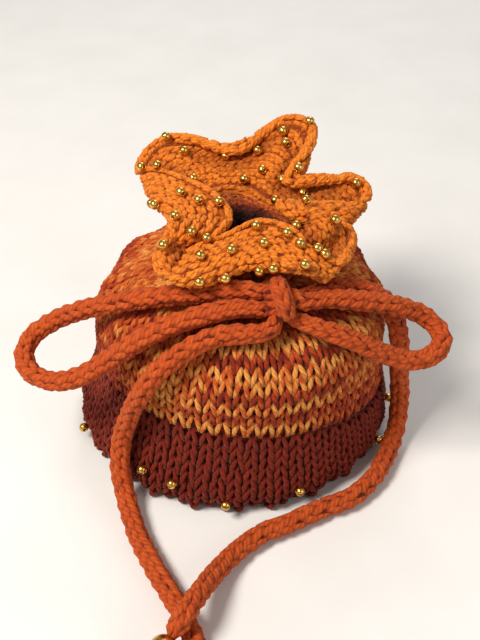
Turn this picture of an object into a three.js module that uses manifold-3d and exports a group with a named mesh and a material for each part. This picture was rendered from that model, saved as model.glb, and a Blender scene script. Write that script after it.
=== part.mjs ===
// A small hand-knitted drawstring pouch with a beaded ruffle, in millimetres, +Z up.
// The origin is the middle of the base, on the surface that it rests on. The bow is at the front, -Y.
import * as THREE from 'three';
import Module from 'manifold-3d';
import { ParametricGeometry } from 'three/addons/geometries/ParametricGeometry.js';
import { mergeVertices } from 'three/addons/utils/BufferGeometryUtils.js';

const wasm = await Module();
wasm.setup();

// Knitted fabric
const FABRIC = 3.2;              // thickness of the knitted fabric
const SEAM_GAP = 0.3;            // clearance between two pieces that touch
const BASE_RADIUS = 47.0;        // outside of the wall where it stands
const RIM_RADIUS = 50.3;         // the bead edge, the widest part
const RIM_HEIGHT = 7.5;
const WAIST_RADIUS = 45.0;       // slack part above the bead edge
const WAIST_HEIGHT = 31.0;
const SHOULDER_RADIUS = 45.2;    // where the contents push the fabric out
const SHOULDER_HEIGHT = 40.0;
const NECK_HEIGHT = 58.8;        // top of the shoulder, where the cord gathers it
const NECK_SHIFT = 3.3;          // the gathered neck sits a little to the right
const BAND_HEIGHT = 28.3;        // top of the rust-coloured lower wall
const SCALLOPS = 24;             // small waves along the bead edge
const SCALLOP_DEPTH = 1.1;
const GATHERS = 12;              // pleats that the cord draws into the shoulder
const GATHER_DEPTH = 1.1;

// Eyelets and drawstring
const CORD_RADIUS = 3.3;         // knitted cord, round
const CORD_TIGHT_RADIUS = 2.2;   // the same cord, squeezed where it enters the bow
const TIGHT_LENGTH = 18;         // length over which it swells back to full size
const CORD_CLEARANCE = 0.35;     // between the cord and an eyelet
const NECK_RADIUS = 15.5;        // mean radius at which the cord weaves
const WEAVE = 3.4;               // how far cord and wall swing out and in
const WAVES = 3;                 // times that the cord comes outside on its way round
const CORD_HEIGHT = 64.2;        // middle of the drawstring round the neck
const EYELET_WALL = 1.6;         // fabric squeezed thin between the cord's turns
const EYELET_BRIDGE = 1.3;       // fabric left above and below an eyelet
const EYELET_REACH = 26;         // degrees of the neck that the cord's hole covers each way

// Bow
const KNOT = new THREE.Vector3(13.75, -27.9, 64.6);
const KNOT_RADIUS = 5.5;
const KNOT_TILT = 39;            // degrees that the bow leans back from upright
const WRAP_RADIUS = 2.4;         // strand that crosses over the knot
const WRAP_SINK = 2.9;           // how deep this strand lies in the knot
const WRAP_START = -30;          // degrees below the middle of the knot's face
const WRAP_END = 78;             // degrees above it
const HALF_KNOT_RADIUS = 4.6;
const HALF_KNOT_REACH = 12;      // degrees of the neck that it covers each way
const LEAD_REACH = 30;           // degrees from the knot to the eyelets beside it

// Ruffle, a sheet that is settled in small steps
const RUFFLE_WIDTH = 27;         // knitted width of the collar from neck to free edge
const RUFFLE_TURN = -8;          // degrees by which its stitches start after the +X side
const DRAFT_SWELL = 0.7;         // share of its spare width that swells outwards before it settles
const FOLD_SPACING = 4.2;        // least distance between the middles of two folds
const RUFFLE_SAG = 1.6;          // how far it hangs lower outside the drawstring
const BOW_REACH = 10.4;          // the fabric's middle stays this far from the bow's middle
const EDGE_HOLD = 0.35;          // how firmly the free edge keeps its place
const SMOOTHING = 0.12;          // share of its stiffness that evens it out in each step
const SETTLE_ROUNDS = 60;
const EDGE_STEP = 2.6;           // rough lengths of one step round and one row
const ROW_STEP = 3.3;

// Beads
const BEAD_RADIUS = 1.5;
const BEAD_BORE = 0.5;
const BEAD_LENGTH = 2.5;
const BEAD_SEAT = 0.3;
// Degrees round the base edge, and the height as a share of the rim's. The first six are at the
// front left, where five show and the cord lies over one. The others are placed alike by hand.
const EDGE_BEADS = [
  [-160, 0.67], [-134, 1.2], [-122.8, 1.6], [-111, 1.49], [-92.5, 0.87], [-67, 1],
  [-26, 0.6], [-4, 0.67], [17, 0.8], [38, 0.93], [59, 0.73], [80, 0.87],
  [101, 1.07], [123, 0.93], [146, 0.8], [173, 0.67],
];
const END_BEAD_RADIUS = 4.0;
const END_BEAD_BORE = 1.35;
const END_THREAD_RADIUS = 1.0;
const STOPPER_RADIUS = 2.0;

// Facets
const ROUND_STEPS = 72;
const BASE_STEPS = 96;           // four for each scallop
const RUFFLE_STEPS = 104;
const RUFFLE_ROWS = 8;
const CORD_SIDES = 8;
const MERGE = 0.02;              // slivers under this size are joined after a cut

const degrees = THREE.MathUtils.degToRad;
const KNOT_BEARING = Math.atan2(KNOT.y, KNOT.x - NECK_SHIFT);
const BAND_TOP = CORD_HEIGHT + CORD_RADIUS + CORD_CLEARANCE + EYELET_BRIDGE;
const RUFFLE_START = BAND_TOP + SEAM_GAP + FABRIC / 2;

const finishes = {
  rust: { color: 0x9c3a14, roughness: 0.95, metalness: 0 },
  variegated: { color: 0xb55a22, roughness: 0.95, metalness: 0 },
  orange: { color: 0xd98a2e, roughness: 0.95, metalness: 0 },
  cord: { color: 0xa8421a, roughness: 0.92, metalness: 0 },
  gold: { color: 0xd8a548, roughness: 0.25, metalness: 1 },
  thread: { color: 0x7c3014, roughness: 0.9, metalness: 0 },
};

const bag = new THREE.Group();

// The free edge of the ruffle, anticlockwise from above: five lobes with folds between them.
const RUFFLE_EDGE = [
  [24.9, 4.5, 73.5], [35.2, 6.5, 72], [40.6, 13.2, 73], [37.4, 17.4, 75.5], [27.4, 14.7, 77],
  [15.8, 12.8, 77.5],
  [22.6, 23.9, 82], [24.5, 33, 85.5], [16.1, 38.6, 85], [7.6, 33.1, 81],
  [0.8, 28.5, 79],
  [-10.4, 32.4, 80], [-19.9, 34.9, 80], [-26.2, 32.7, 77.5], [-29.6, 25.5, 74], [-24.1, 20, 76.5],
  [-15.2, 12.6, 78], [-6.5, 5.5, 78], [-1.4, -1, 76.5], [-5, -6.8, 75.5],
  [-13.5, -8.2, 73], [-18, -11, 71.5], [-16.5, -15.5, 70.5], [-10, -15, 72],
  [-1.8, -13.2, 75], [7.6, -8.2, 77], [17.5, -12, 75.5],
  [21.5, -17, 72.5], [28.5, -19.5, 71], [35.3, -8.5, 71.5], [31.5, -2.4, 73], [22.6, -4.4, 75],
  [12.6, 2.2, 76.5],
].map((point) => new THREE.Vector3(...point));

// Beads sewn to the ruffle: share of the way round, share of its width, and 1 for its outside.
const RUFFLE_BEADS = [
  [0.397, 0.97, -1], [0.385, 0.72, -1], [0.325, 0.56, -1], [0.231, 0.28, -1], [0.25, 0.78, -1],
  [0.228, 1, -1], [0.534, 0.62, 1], [0.565, 0.72, 1], [0.608, 0.78, 1], [0.498, 0.5, 1],
  [0.692, 0.59, 1], [0.728, 0.5, 1], [0.743, 0.81, 1], [0.76, 0.53, 1], [0.774, 0.81, 1],
  [0.8, 0.91, 1], [0.803, 0.62, 1], [0.786, 0.44, 1], [0.079, 0.91, -1], [0.916, 0.66, -1],
  [0.478, 1, 1], [0.921, 0.19, -1], [0.401, 0.25, -1],
];

// Cord routes, from the bow outwards.
const LEFT_LOOP = [
  [8.4, -26.5, 66.3], [2, -25.7, 66.6], [-9.1, -23.9, 64], [-20.5, -21.9, 61.2], [-32.2, -19.5, 57.4],
  [-44.1, -15.7, 51.5], [-53.3, -13.4, 45.5], [-59.9, -15, 41], [-62.1, -20, 38.6], [-59.5, -26.2, 37],
  [-53, -30.5, 37], [-45, -32, 39.5], [-37.1, -32.4, 45.2], [-28.5, -33.4, 52.8], [-19.4, -33.3, 58.8],
  [-8.9, -31.6, 62], [0.9, -30.1, 63.4], [8.6, -29.6, 62.5],
];
const RIGHT_LOOP = [
  [19.5, -28.4, 64], [25.6, -25.6, 63.2], [34.2, -23.4, 61], [44.7, -20.7, 57.4], [54.8, -17.8, 51.3],
  [59.5, -20, 48.2], [60.4, -24, 45.9], [56.8, -28, 44.4], [50.1, -30.6, 44.8], [42, -31.6, 48.6],
  [32.4, -33.2, 55], [23.5, -32.6, 58.6], [16.6, -31.1, 60.7],
];
const LEFT_TAIL = [
  [12.2, -31.4, 60.3], [10.2, -34.4, 59.4], [4.8, -35.6, 58.9], [-1.2, -35.6, 58.7], [-5.4, -36, 58],
  [-11.6, -38.5, 56.4], [-18.4, -40.8, 52.3], [-24.3, -41.4, 44.3], [-29.6, -38.6, 31.2],
  [-32.8, -38, 20.3], [-33.5, -41.4, 12.9], [-32.2, -45.4, 6], [-28.8, -55.8, 3.5], [-23.3, -68.4, 3.5],
  [-17.7, -78.5, 3.5], [-14.1, -85.2, 3.5], [-11.5, -90.8, 3.5], [-9.5, -95.9, 3.7], [-8.5, -100.6, 3.9],
];
const RIGHT_TAIL = [
  [17.5, -24.5, 61.8], [25.2, -19.4, 61.7], [32.4, -15.9, 60], [39.6, -14.7, 57.3], [45.4, -13.4, 51.9],
  [48.6, -13.2, 44.5], [50.6, -12.8, 35.6], [52.4, -13.5, 26], [54.6, -13.8, 15.6], [53.9, -18.5, 6.7],
  [50.3, -27, 3.7], [43.7, -37.6, 3.7], [35.5, -45.2, 3.7], [25.7, -49.9, 3.6], [16.8, -54.9, 3.6],
  [7.8, -59.5, 3.6], [0.9, -65.6, 3.7], [-4.6, -73.9, 5.4], [-8.7, -83.1, 9], [-11.8, -90.5, 11],
  [-13.6, -93.4, 10.1], [-15.5, -95.9, 8.2],
];

function addPiece(name, geometry, finish) {
  const mesh = new THREE.Mesh(geometry, new THREE.MeshStandardMaterial(finish));
  mesh.name = name;
  bag.add(mesh);
  return mesh;
}

// Joins the shared vertices of a closed surface and turns its faces outwards.
function closedSolid(geometry) {
  const bare = geometry.clone();
  bare.deleteAttribute('normal');
  bare.deleteAttribute('uv');
  const welded = mergeVertices(bare, 1e-4);
  const index = Array.from(welded.index.array);
  const kept = [];
  for (let i = 0; i < index.length; i += 3) {
    const [a, b, c] = index.slice(i, i + 3);
    if (a !== b && b !== c && c !== a) kept.push(a, b, c);
  }
  welded.setIndex(kept);
  if (signedVolume(welded) < 0) {
    for (let i = 0; i < kept.length; i += 3) {
      [kept[i], kept[i + 1]] = [kept[i + 1], kept[i]];
    }
    welded.setIndex(kept);
  }
  return welded;
}

function signedVolume(geometry) {
  const place = geometry.attributes.position;
  const index = geometry.index.array;
  const corner = [0, 1, 2].map(() => new THREE.Vector3());
  let volume = 0;
  for (let i = 0; i < index.length; i += 3) {
    corner.forEach((point, k) => point.fromBufferAttribute(place, index[i + k]));
    volume += corner[0].dot(corner[1].clone().cross(corner[2])) / 6;
  }
  return volume;
}

function toManifold(geometry) {
  const solid = closedSolid(geometry);
  return new wasm.Manifold(new wasm.Mesh({
    numProp: 3,
    vertProperties: new Float32Array(solid.attributes.position.array),
    triVerts: new Uint32Array(solid.index.array),
  }));
}

function fromManifold(manifold) {
  const mesh = manifold.simplify(MERGE).getMesh();
  const geometry = new THREE.BufferGeometry();
  geometry.setAttribute('position', new THREE.BufferAttribute(mesh.vertProperties, 3));
  geometry.setIndex(new THREE.BufferAttribute(mesh.triVerts, 1));
  return geometry;
}

// A ring of fabric: face(turn, rise, depth) gives a point, with depth 0 outside and 1 inside.
function fabricRing(face, around, rows) {
  const loop = 2 * rows + 2;
  const place = (u, v, target) => {
    const turn = (Math.round(u * around) % around) / around;
    const step = Math.round(v * loop) % loop;
    const outside = step <= rows;
    const rise = (outside ? step : loop - 1 - step) / rows;
    target.copy(face(turn, rise, outside ? 0 : 1));
  };
  return closedSolid(new ParametricGeometry(place, around, loop));
}

// The bag's outline from the floor to the neck, as radius and height.
const outline = new THREE.SplineCurve([
  [BASE_RADIUS, 0],
  [RIM_RADIUS - 0.9, RIM_HEIGHT * 0.45],
  [RIM_RADIUS, RIM_HEIGHT],
  [(RIM_RADIUS * 2 + WAIST_RADIUS) / 3 - 0.4, RIM_HEIGHT + 7],
  [WAIST_RADIUS + 0.6, WAIST_HEIGHT - 8],
  [WAIST_RADIUS, WAIST_HEIGHT],
  [SHOULDER_RADIUS, SHOULDER_HEIGHT],
  [SHOULDER_RADIUS - 1.8, SHOULDER_HEIGHT + 6],
  [SHOULDER_RADIUS - 5, SHOULDER_HEIGHT + 10.8],
  [SHOULDER_RADIUS - 10, SHOULDER_HEIGHT + 14.4],
  [NECK_RADIUS + 14, NECK_HEIGHT - 2],
  [NECK_RADIUS + 8.5, NECK_HEIGHT - 0.7],
  [NECK_RADIUS + 3, NECK_HEIGHT - 0.1],
  [NECK_RADIUS - EYELET_WALL / 2, NECK_HEIGHT],
].map((point) => new THREE.Vector2(...point)));
const outlineLength = outline.getLength();
const bandShare = outline.getSpacedPoints(400).findIndex((point) => point.y > BAND_HEIGHT) / 400;

// How much the neck's pleats and weave show at a height: 0 on the body, 1 at the neck.
function gathered(height) {
  return THREE.MathUtils.smoothstep(height, SHOULDER_HEIGHT, NECK_HEIGHT);
}

function neckCentre(height) {
  const share = (height - RIM_HEIGHT) / (NECK_HEIGHT - RIM_HEIGHT);
  return NECK_SHIFT * THREE.MathUtils.clamp(share, 0, 1);
}

// The eyelet wall swings in where the cord is outside, and out where it is inside.
function wallRadius(angle) {
  return NECK_RADIUS - WEAVE * Math.cos(WAVES * (angle - KNOT_BEARING));
}

function cordRadiusAt(angle) {
  return NECK_RADIUS + WEAVE * Math.cos(WAVES * (angle - KNOT_BEARING));
}

function aroundNeck(angle, radius, height) {
  return new THREE.Vector3(
    neckCentre(height) + radius * Math.cos(angle), radius * Math.sin(angle), height);
}

// A point of the bag's wall. Share runs along the outline, and depth from the outside in.
function wallPoint(angle, share, depth) {
  const point = outline.getPointAt(THREE.MathUtils.clamp(share, 0, 1));
  const along = outline.getTangentAt(THREE.MathUtils.clamp(share, 0, 1));
  const flat = THREE.MathUtils.smoothstep(share, 0, 0.05);
  const inward = new THREE.Vector2(-along.y, along.x * flat).normalize();
  const high = gathered(point.y);
  const scallop = SCALLOP_DEPTH * Math.cos(SCALLOPS * angle) *
    (1 - THREE.MathUtils.smoothstep(point.y, 0, RIM_HEIGHT * 1.5));
  const gather = GATHER_DEPTH * Math.cos(GATHERS * angle) * high * (1 - high) * 4;
  const weave = (wallRadius(angle) - NECK_RADIUS) * high ** 6;
  const radius = point.x + scallop + weave + inward.x * (depth * FABRIC - gather);
  const height = point.y + inward.y * (depth * FABRIC - gather);
  return new THREE.Vector3(
    neckCentre(point.y) + radius * Math.cos(angle), radius * Math.sin(angle), Math.max(height, 0));
}

function makeBasePanel() {
  const radius = BASE_RADIUS - FABRIC - SCALLOP_DEPTH - SEAM_GAP;
  const profile = [[0, 0], [radius, 0], [radius, FABRIC - 1], [radius - 1, FABRIC], [0, FABRIC]]
    .map((point) => new THREE.Vector2(...point));
  const disc = new THREE.LatheGeometry(profile, BASE_STEPS);
  disc.rotateX(Math.PI / 2);
  addPiece('base_panel', closedSolid(disc), finishes.rust);
}

function makeWalls() {
  const gap = SEAM_GAP / outlineLength / 2;
  const lower = (turn, rise, depth) => wallPoint(
    turn * 2 * Math.PI, rise * (bandShare - gap), depth);
  const upper = (turn, rise, depth) => wallPoint(
    turn * 2 * Math.PI, THREE.MathUtils.lerp(bandShare + gap, 1, rise), depth);
  addPiece('lower_wall', fabricRing(lower, BASE_STEPS, 5), finishes.rust);
  addPiece('upper_wall', fabricRing(upper, ROUND_STEPS, 10), finishes.variegated);
}

// The drawstring's route round the neck, outside and inside the wall by turns.
function neckRoute(from, to) {
  const points = [];
  const count = Math.ceil(Math.abs(to - from) / 1.5);
  for (let i = 0; i <= count; i += 1) {
    const angle = KNOT_BEARING + degrees(THREE.MathUtils.lerp(from, to, i / count));
    points.push(aroundNeck(angle, cordRadiusAt(angle), CORD_HEIGHT));
  }
  return new THREE.CatmullRomCurve3(points);
}

function sectionShape(radius, sides) {
  const corners = [];
  for (let i = 0; i < sides; i += 1) {
    const angle = (2 * Math.PI * i) / sides;
    corners.push(new THREE.Vector2(radius * Math.cos(angle), radius * Math.sin(angle)));
  }
  return new THREE.Shape(corners);
}

function cordSolid(route, radius, steps, sides = CORD_SIDES) {
  return new THREE.ExtrudeGeometry(
    sectionShape(radius, sides), { steps, bevelEnabled: false, extrudePath: route });
}

// Squeezes a cord towards its route near the ends that go into the bow.
function drawTight(geometry, route, steps, bothEnds) {
  const rings = route.getSpacedPoints(steps);
  const headings = rings.map((point, k) => route.getTangentAt(k / steps));
  const length = route.getLength();
  const place = geometry.attributes.position;
  const vertex = new THREE.Vector3();
  for (let i = 0; i < place.count; i += 1) {
    vertex.fromBufferAttribute(place, i);
    const misses = rings.map((point, k) => {
      const reach = vertex.clone().sub(point);
      return Math.abs(reach.length() - CORD_RADIUS) + Math.abs(reach.dot(headings[k]));
    });
    const ring = misses.indexOf(Math.min(...misses));
    const travelled = (length * ring) / steps;
    const fromKnot = bothEnds ? Math.min(travelled, length - travelled) : travelled;
    const radius = THREE.MathUtils.lerp(
      CORD_TIGHT_RADIUS, CORD_RADIUS, Math.min(fromKnot / TIGHT_LENGTH, 1));
    vertex.sub(rings[ring]).multiplyScalar(radius / CORD_RADIUS).add(rings[ring]);
    place.setXYZ(i, vertex.x, vertex.y, vertex.z);
  }
  return closedSolid(geometry);
}

function makeEyeletBand() {
  const low = NECK_HEIGHT + SEAM_GAP;
  const wall = (turn, rise, depth) => {
    const angle = turn * 2 * Math.PI;
    const radius = wallRadius(angle) + EYELET_WALL * (0.5 - depth);
    return aroundNeck(angle, radius, THREE.MathUtils.lerp(low, BAND_TOP, rise));
  };
  let band = toManifold(fabricRing(wall, ROUND_STEPS, 1));
  for (let i = 0; i < 2 * WAVES; i += 1) {
    const middle = (i + 0.5) * (180 / WAVES);
    const cutter = cordSolid(
      neckRoute(middle - EYELET_REACH, middle + EYELET_REACH), CORD_RADIUS + CORD_CLEARANCE, 6);
    band = band.subtract(toManifold(cutter));
  }
  addPiece('eyelet_band', fromManifold(band), finishes.orange);
}

function makeNeckCord() {
  const gap = (SEAM_GAP / NECK_RADIUS) * (180 / Math.PI);
  const ring = neckRoute(LEAD_REACH + gap, 360 - LEAD_REACH - gap);
  addPiece('drawstring_ring', closedSolid(cordSolid(ring, CORD_RADIUS, 48)), finishes.cord);
  const socket = toManifold(halfKnotBody(SEAM_GAP));
  for (const [name, side] of [['left_lead', -1], ['right_lead', 1]]) {
    const lead = cordSolid(neckRoute(side * (HALF_KNOT_REACH - 2), side * LEAD_REACH), CORD_RADIUS, 4);
    addPiece(name, fromManifold(toManifold(lead).subtract(socket)), finishes.cord);
  }
}

// A barrel turned about its own length, with rounded ends.
function barrel(radius, halfLength, roundness, sides) {
  const profile = [new THREE.Vector2(0, -halfLength)];
  for (let i = 0; i <= 6; i += 1) {
    const share = (i / 6) * 2 - 1;
    const swell = Math.sqrt(1 - roundness * share * share);
    profile.push(new THREE.Vector2(radius * swell, halfLength * share));
  }
  profile.push(new THREE.Vector2(0, halfLength));
  return new THREE.LatheGeometry(profile, sides);
}

// The first crossing of the tied cord, or the same shape grown by a clearance.
function halfKnotBody(growth) {
  const reach = cordRadiusAt(KNOT_BEARING);
  const halfLength = reach * Math.sin(degrees(HALF_KNOT_REACH));
  const knot = barrel(HALF_KNOT_RADIUS + growth, halfLength + growth, 0.5, 12);
  knot.rotateZ(KNOT_BEARING);
  const seat = aroundNeck(KNOT_BEARING, reach, CORD_HEIGHT);
  return closedSolid(knot.translate(seat.x, seat.y, seat.z));
}

function makeHalfKnot() {
  addPiece('half_knot', halfKnotBody(0), finishes.cord);
}

// The way that the bow faces, and the way up along its face.
const facing = new THREE.Vector3(0, -Math.cos(degrees(KNOT_TILT)), Math.sin(degrees(KNOT_TILT)));
const upward = new THREE.Vector3(0, Math.sin(degrees(KNOT_TILT)), Math.cos(degrees(KNOT_TILT)));

function knotBall(growth) {
  const ball = new THREE.IcosahedronGeometry(KNOT_RADIUS + growth, 3);
  return toManifold(ball.translate(KNOT.x, KNOT.y, KNOT.z));
}

// The strand that crosses over the knot, grown by a clearance, and longer by some degrees.
function wrapBody(growth, longer) {
  const points = [];
  const reach = KNOT_RADIUS + WRAP_RADIUS - WRAP_SINK;
  for (let i = 0; i <= 10; i += 1) {
    const angle = degrees(THREE.MathUtils.lerp(WRAP_START - longer, WRAP_END + longer, i / 10));
    points.push(KNOT.clone()
      .addScaledVector(facing, reach * Math.cos(angle))
      .addScaledVector(upward, reach * Math.sin(angle)));
  }
  return toManifold(cordSolid(new THREE.CatmullRomCurve3(points), WRAP_RADIUS + growth, 10));
}

function makeBowKnot() {
  addPiece('bow_wrap', fromManifold(wrapBody(0, 0)), finishes.cord);
  addPiece('bow_core', fromManifold(knotBall(0).subtract(wrapBody(SEAM_GAP, 5))), finishes.cord);
}

function routeThrough(points) {
  return new THREE.CatmullRomCurve3(points.map((point) => new THREE.Vector3(...point)));
}

function makeBowStrand(name, points, steps, bothEnds) {
  const route = routeThrough(points);
  const solid = drawTight(cordSolid(route, CORD_RADIUS, steps), route, steps, bothEnds);
  addPiece(name, fromManifold(toManifold(solid).subtract(knotBall(SEAM_GAP))), finishes.cord);
  return route;
}

// A bead with a bore along Z, as one closed ring profile turned about it.
function beadGeometry(radius, bore, length, sides, steps) {
  const half = length / 2;
  const profile = [];
  for (let i = 0; i <= steps; i += 1) {
    const height = THREE.MathUtils.lerp(-half, half, i / steps);
    profile.push(new THREE.Vector2(Math.sqrt(radius * radius - height * height), height));
  }
  profile.push(new THREE.Vector2(bore, half));
  profile.push(new THREE.Vector2(bore, -half));
  profile.push(profile[0].clone());
  const bead = new THREE.LatheGeometry(profile, sides);
  bead.rotateX(Math.PI / 2);
  return closedSolid(bead);
}

function aimAlong(geometry, axis, place) {
  const turn = new THREE.Quaternion().setFromUnitVectors(new THREE.Vector3(0, 0, 1), axis);
  geometry.applyQuaternion(turn);
  geometry.translate(place.x, place.y, place.z);
  return geometry;
}

// A cord's end: a thread sewn into it carries the large bead, held by a small stopper bead.
function makeCordEnd(side, route) {
  const end = route.getPointAt(1);
  const axis = route.getTangentAt(1);
  const threadStart = SEAM_GAP;
  const beadHalf = Math.sqrt(END_BEAD_RADIUS ** 2 - (END_BEAD_BORE + 0.4) ** 2);
  const beadPlace = threadStart + SEAM_GAP + beadHalf;
  const stopperHalf = Math.sqrt(STOPPER_RADIUS ** 2 - (END_BEAD_BORE + 0.2) ** 2);
  const stopperPlace = beadPlace + beadHalf + SEAM_GAP + stopperHalf;
  const threadLength = stopperPlace + stopperHalf - threadStart;
  const thread = new THREE.CylinderGeometry(END_THREAD_RADIUS, END_THREAD_RADIUS, threadLength, 8);
  thread.rotateX(Math.PI / 2);
  const threadMiddle = end.clone().addScaledVector(axis, threadStart + threadLength / 2);
  addPiece(`${side}_end_thread`, closedSolid(aimAlong(thread, axis, threadMiddle)), finishes.thread);
  const bead = beadGeometry(END_BEAD_RADIUS, END_BEAD_BORE, 2 * beadHalf, 16, 8);
  addPiece(`${side}_end_bead`, aimAlong(bead, axis, end.clone().addScaledVector(axis, beadPlace)),
    finishes.gold);
  const stopper = beadGeometry(STOPPER_RADIUS, END_BEAD_BORE, 2 * stopperHalf, 10, 4);
  addPiece(`${side}_stopper_bead`,
    aimAlong(stopper, axis, end.clone().addScaledVector(axis, stopperPlace)), finishes.gold);
}

// The ruffle starts as a sheet that swells between the neck and its free edge.
const ruffleEdge = new THREE.CatmullRomCurve3(RUFFLE_EDGE, true);
ruffleEdge.arcLengthDivisions = 800;

function ruffleDraft(turn, rise) {
  const edge = ruffleEdge.getPointAt(turn);
  const angle = turn * 2 * Math.PI + degrees(RUFFLE_TURN);
  const neck = aroundNeck(angle, wallRadius(angle), RUFFLE_START);
  const away = new THREE.Vector3(neck.x + edge.x - 2 * NECK_SHIFT, neck.y + edge.y, 0).normalize();
  const slack = Math.max(RUFFLE_WIDTH ** 2 - edge.distanceToSquared(neck), 9);
  const bend = neck.clone().lerp(edge, 0.5).addScaledVector(away, Math.sqrt(slack) * DRAFT_SWELL);
  const start = (1 - rise) ** 2;
  const middle = 2 * rise * (1 - rise);
  return neck.multiplyScalar(start).addScaledVector(bend, middle).addScaledVector(edge, rise ** 2);
}

const columns = RUFFLE_STEPS;
const rows = RUFFLE_ROWS + 1;
const nodeAt = (column, row) => (((column % columns) + columns) % columns) * rows + row;

// Settles the sheet: its knitted lengths hold, and its folds push each other apart.
function settleSheet() {
  const sheet = [];
  for (let i = 0; i < columns; i += 1) {
    for (let j = 0; j < rows; j += 1) sheet.push(ruffleDraft(i / columns, j / RUFFLE_ROWS));
  }
  const target = sheet.map((point) => point.clone());
  const ties = [];
  const tie = (a, b, rest) => ties.push([a, b, rest]);
  const apart = (a, b) => target[a].distanceTo(target[b]);
  for (let i = 0; i < columns; i += 1) {
    const neckStep = apart(nodeAt(i, 0), nodeAt(i + 1, 0));
    const edgeStep = apart(nodeAt(i, rows - 1), nodeAt(i + 1, rows - 1));
    for (let j = 0; j < rows; j += 1) {
      tie(nodeAt(i, j), nodeAt(i + 1, j), THREE.MathUtils.lerp(neckStep, edgeStep, j / RUFFLE_ROWS));
      if (j < RUFFLE_ROWS) tie(nodeAt(i, j), nodeAt(i, j + 1), RUFFLE_WIDTH / RUFFLE_ROWS);
    }
  }
  for (let round = 0; round < SETTLE_ROUNDS; round += 1) settleOnce(sheet, target, ties);
  return sheet;
}

function settleOnce(sheet, target, ties) {
  const push = sheet.map(() => new THREE.Vector3());
  const pushes = new Float64Array(sheet.length).fill(1);
  const reach = new THREE.Vector3();
  const move = (a, b, rest) => {
    reach.subVectors(sheet[b], sheet[a]);
    const length = Math.max(reach.length(), 1e-6);
    reach.multiplyScalar((0.5 * (length - rest)) / length);
    push[a].add(reach);
    push[b].sub(reach);
    pushes[a] += 1;
    pushes[b] += 1;
  };
  for (const [a, b, rest] of ties) move(a, b, rest);
  for (let a = 0; a < sheet.length; a += 1) {
    for (let b = a + 1; b < sheet.length; b += 1) {
      if (sheet[a].distanceToSquared(sheet[b]) > FOLD_SPACING ** 2) continue;
      const gap = Math.abs(Math.floor(a / rows) - Math.floor(b / rows));
      const near = Math.min(gap, columns - gap) * EDGE_STEP + Math.abs((a % rows) - (b % rows)) * ROW_STEP;
      if (near > FOLD_SPACING * 1.6) move(a, b, FOLD_SPACING);
    }
  }
  const next = sheet.map((point, k) => point.clone().addScaledVector(push[k], 1.6 / pushes[k]));
  next.forEach((point, k) => {
    const column = Math.floor(k / rows);
    const row = k % rows;
    if (row === 0) {
      sheet[k].copy(target[k]);
      return;
    }
    const around = next[nodeAt(column - 1, row)].clone().add(next[nodeAt(column + 1, row)]);
    point = point.clone().lerp(around.multiplyScalar(0.5), SMOOTHING);
    if (row < rows - 1) {
      const along = next[k - 1].clone().add(next[k + 1]).multiplyScalar(0.5);
      point.lerp(along, SMOOTHING);
    } else {
      point.lerp(target[k], EDGE_HOLD);
    }
    sheet[k].copy(keepClear(point));
  });
}

// Holds the fabric above the drawstring and the shoulder, and off the bow.
function keepClear(point) {
  const out = Math.hypot(point.x - NECK_SHIFT, point.y);
  const floor = out < NECK_RADIUS + WEAVE + CORD_RADIUS ? RUFFLE_START : RUFFLE_START - RUFFLE_SAG;
  point.z = Math.max(point.z, floor);
  const reach = point.clone().sub(KNOT);
  if (reach.length() < BOW_REACH) point.copy(KNOT).add(reach.setLength(BOW_REACH));
  return point;
}

const ruffleSheet = settleSheet();

function ruffleMiddle(turn, rise) {
  const column = turn * columns;
  const row = Math.min(rise * RUFFLE_ROWS, RUFFLE_ROWS - 1e-6);
  const i = Math.floor(column);
  const j = Math.floor(row);
  const low = ruffleSheet[nodeAt(i, j)].clone().lerp(ruffleSheet[nodeAt(i + 1, j)], column - i);
  const high = ruffleSheet[nodeAt(i, j + 1)].clone().lerp(ruffleSheet[nodeAt(i + 1, j + 1)], column - i);
  return low.lerp(high, row - j);
}

function ruffleNormal(turn, rise) {
  const side = 1.5 / columns;
  const step = 1 / RUFFLE_ROWS;
  const low = Math.max(rise - step, 0);
  const high = Math.min(rise + step, 1);
  const across = ruffleMiddle(turn + side, rise).sub(ruffleMiddle(turn - side, rise));
  const along = ruffleMiddle(turn, high).sub(ruffleMiddle(turn, low));
  return across.cross(along).normalize();
}

function rufflePoint(turn, rise, depth) {
  const normal = ruffleNormal(turn, rise);
  return ruffleMiddle(turn, rise).addScaledVector(normal, FABRIC * (0.5 - depth));
}

function makeRuffle() {
  const solid = fabricRing(rufflePoint, RUFFLE_STEPS, RUFFLE_ROWS);
  return addPiece('ruffle_collar', solid, finishes.orange);
}

function triangleList(mesh) {
  const place = mesh.geometry.attributes.position;
  const index = mesh.geometry.index.array;
  const list = [];
  for (let i = 0; i < index.length; i += 3) {
    const corner = (k) => new THREE.Vector3().fromBufferAttribute(place, index[i + k]);
    list.push(new THREE.Triangle(corner(0), corner(1), corner(2)));
  }
  return list;
}

// Moves a bead out along a direction until it stands its seat clearance off the fabric.
function seatBead(start, away, triangles) {
  const centre = start.clone();
  const nearest = new THREE.Vector3();
  for (let i = 0; i < 5; i += 1) {
    let distance = Infinity;
    for (const triangle of triangles) {
      triangle.closestPointToPoint(centre, nearest);
      distance = Math.min(distance, nearest.distanceTo(centre));
    }
    centre.addScaledVector(away, BEAD_RADIUS + BEAD_SEAT - distance);
  }
  return centre;
}

function makeBead(name, centre, axis) {
  const bead = beadGeometry(BEAD_RADIUS, BEAD_BORE, BEAD_LENGTH, 8, 4);
  addPiece(name, aimAlong(bead, axis, centre), finishes.gold);
}

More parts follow.
